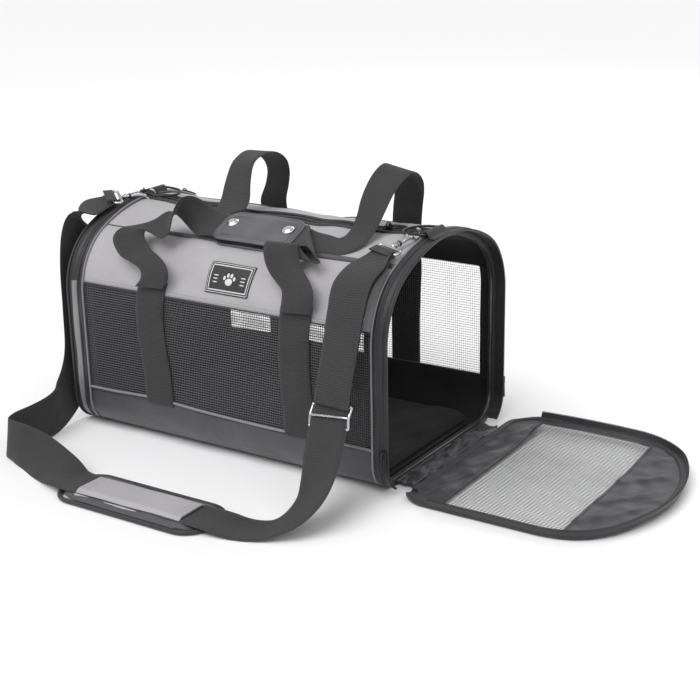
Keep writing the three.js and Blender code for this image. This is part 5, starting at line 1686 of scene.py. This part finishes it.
def build_adjuster(rows):
    """A tri-glide of round wire: the strap passes in front of its outer bars, behind the middle."""
    curve = catmull(rows, 900)
    low, high = cad_box("strap_adjuster")
    centre = (low + high) / 2
    near_rows = np.where(np.arange(900) > 600)[0]
    at = near_rows[np.argmin(np.abs(curve[near_rows, 2] - centre[2]))]
    up = unit(curve[at + 1, :3] - curve[at - 1, :3])
    across = np.array([1, -0.15, 0]) - up * (up @ np.array([1, -0.15, 0]))
    across = unit(across)
    front = np.cross(across, up)
    centre = curve[at, :3]
    edge = 27.0
    shape = Shape()

    def bar(points, radius):
        shape.cord(np.array([centre + across * p + up * q + front * r for p, q, r in points]), radius, 10)

    for side in (-1, 1):
        bar([(side * edge, q, 0.0 + 1.2 * math.cos(q / 12 * np.pi)) for q in np.linspace(-12, 12, 12)], 1.5)
    for q, r in ((12, -2.6), (-12, -2.6), (0, 3.0)):
        bar([(p, q, r * (1 - (abs(p) / edge) ** 6)) for p in np.linspace(-edge, edge, 16)], 1.5)
    shape.make("tri_glide", "strap", "hook_steel", [nickel], ["strap_adjuster"])


def build_pad():
    low, high = cad_box("strap_pad")
    centre = (low + high) / 2
    half = (high - low) / 2

    def soften(points):
        dx, dy = points[:, 0] - centre[0], points[:, 1] - centre[1]
        inner = np.clip(1 - np.maximum(np.abs(dx) / half[0], np.abs(dy) / half[1]) ** 4, 0, 1)
        points[:, 2] += inner * smooth(points[:, 2], centre[2], high[2]) * 0.6 * ripple(dx, dy, 45, 91)
        return points

    relaxed_solid("strap_pad", "sling_pad", "strap", [dark_cloth_pad], cap=2.6, shrink=0.6,
                  floor=0.3, after=soften)
    loop = rounded_loop(half[0] - 0.2, half[1] - 0.2, 29.0, 24)[:-1]
    path = np.column_stack([centre[0] + loop[:, 0], centre[1] + loop[:, 1], np.full(len(loop), 3.2)])
    rim = Shape().cord(path, 2.5, 10, up=(0, 0, 1), closed=True, squash=1.05)
    rim.make("sling_pad_binding", "strap", "dark_fabric", [trim_cloth])
    build_sleeve(centre)


def build_sleeve(centre):
    low, high = cad_box("pad_sleeve")
    half = (high - low) / 2
    x = np.linspace(-half[0], half[0], 60)[:, None]
    y = np.linspace(-half[1], half[1], 26)[None]
    crown = 4.6 * (1 - smooth(np.abs(y), half[1] - 9, half[1]))
    z = 6.9 + crown + 0.35 * ripple(x, y, 60, 95) * np.ones_like(crown)
    grid = np.stack([centre[0] + x + 0 * y, centre[1] + y + 0 * x, z + 0 * x], axis=-1)
    shape = Shape().slab(grid, sheet_normals(grid), 0.9)
    for row in (2, 4, -3, -5):
        stitches(shape, grid[row] + (0, 0, 0.95), (0, 0, 1), slot=1)
    for column in (2, -3):
        stitches(shape, grid[:, column] + (0, 0, 0.95), (0, 0, 1), slot=1)
    shape.make("sling_sleeve", "strap", "grey_fabric", [grey_cloth, grey_stitch], ["pad_sleeve"])


def build_mat():
    low, high = cad_box("floor_mat")

    def soften(points):
        top = smooth(points[:, 2], low[2] + 4, high[2])
        points[:, 2] += top * 0.9 * ripple(points[:, 0], points[:, 1], 70, 97)
        points[:, 2] = np.maximum(points[:, 2], low[2])
        return points

    relaxed_solid("floor_mat", "plush_mat", "shell", [plush], cap=4.0, shrink=1.4, after=soften)


# ---- stage ---------------------------------------------------------------------------------------

def build_stage():
    mesh = bpy.data.meshes.new("ground")
    reach = 12.0
    mesh.from_pydata([(-reach, -reach, 0), (reach, -reach, 0), (reach, reach, 0), (-reach, reach, 0)], [],
                     [(0, 1, 2, 3)])
    ground = bpy.data.objects.new("ground", mesh)
    bpy.context.scene.collection.objects.link(ground)
    floor = Graph("paper", 0.55)
    mesh.materials.append(floor.finish((0.93, 0.93, 0.94)))
    world = bpy.data.worlds.new("studio")
    world.use_nodes = True
    nodes, links = world.node_tree.nodes, world.node_tree.links
    nodes["Background"].inputs["Color"].default_value = (1.0, 1.0, 1.0, 1.0)
    seen = nodes.new("ShaderNodeLightPath")
    strength = nodes.new("ShaderNodeMapRange")
    strength.inputs["To Min"].default_value = SKY
    strength.inputs["To Max"].default_value = BACKDROP
    links.new(seen.outputs["Is Camera Ray"], strength.inputs["Value"])
    links.new(strength.outputs["Result"], nodes["Background"].inputs["Strength"])
    bpy.context.scene.world = world
    for name, kind, spot, size, power in LIGHTS:
        data = bpy.data.lights.new(name, kind)
        if kind == "SUN":
            data.angle = size
        else:
            data.shape = "SQUARE"
            data.size = size
        data.energy = power
        lamp = bpy.data.objects.new(name, data)
        lamp.location = spot
        lamp.rotation_euler = (Vector((0.0, 0.0, 0.12)) - Vector(spot)).to_track_quat("-Z", "Y").to_euler()
        bpy.context.scene.collection.objects.link(lamp)
    scene = bpy.context.scene
    scene.view_settings.view_transform = "Standard"
    scene.view_settings.look = "None"


SKY = 0.55
BACKDROP = 1.0
LIGHTS = (
    ("key", "SUN", (-0.5, -1.4, 2.6), math.radians(50), 2.0),
    ("fill", "AREA", (2.2, -0.8, 1.4), 1.8, 10.0),
    ("rim", "AREA", (0.2, 2.4, 1.8), 1.6, 14.0),
)
EYE = Vector((0.9738, -1.3527, 0.6580))
AIM = Vector((0.0679, 0.0348, 0.097))
LENS = 72.04
ROLL = math.radians(-1.13)


def build_camera():
    data = bpy.data.cameras.new("camera")
    data.lens = LENS
    data.sensor_width = 36.0
    camera = bpy.data.objects.new("camera", data)
    turn = (AIM - EYE).to_track_quat("-Z", "Y").to_matrix().to_4x4()
    camera.matrix_world = Matrix.Translation(EYE) @ turn @ Matrix.Rotation(ROLL, 4, "Z")
    bpy.context.scene.collection.objects.link(camera)
    bpy.context.scene.camera = camera


build_base()
build_board()
build_side_nets()
build_upper_panels()
build_roof()
build_arches()
build_zip_rims()
build_gusset()
build_end_panels()
build_net_end_shade_bands()
build_anchors()
build_label()
build_rings()
build_hooks()
build_sliders()
build_door()
build_sill()
build_handles()
build_grip()
build_strap()
build_mat()
build_stage()
build_camera()
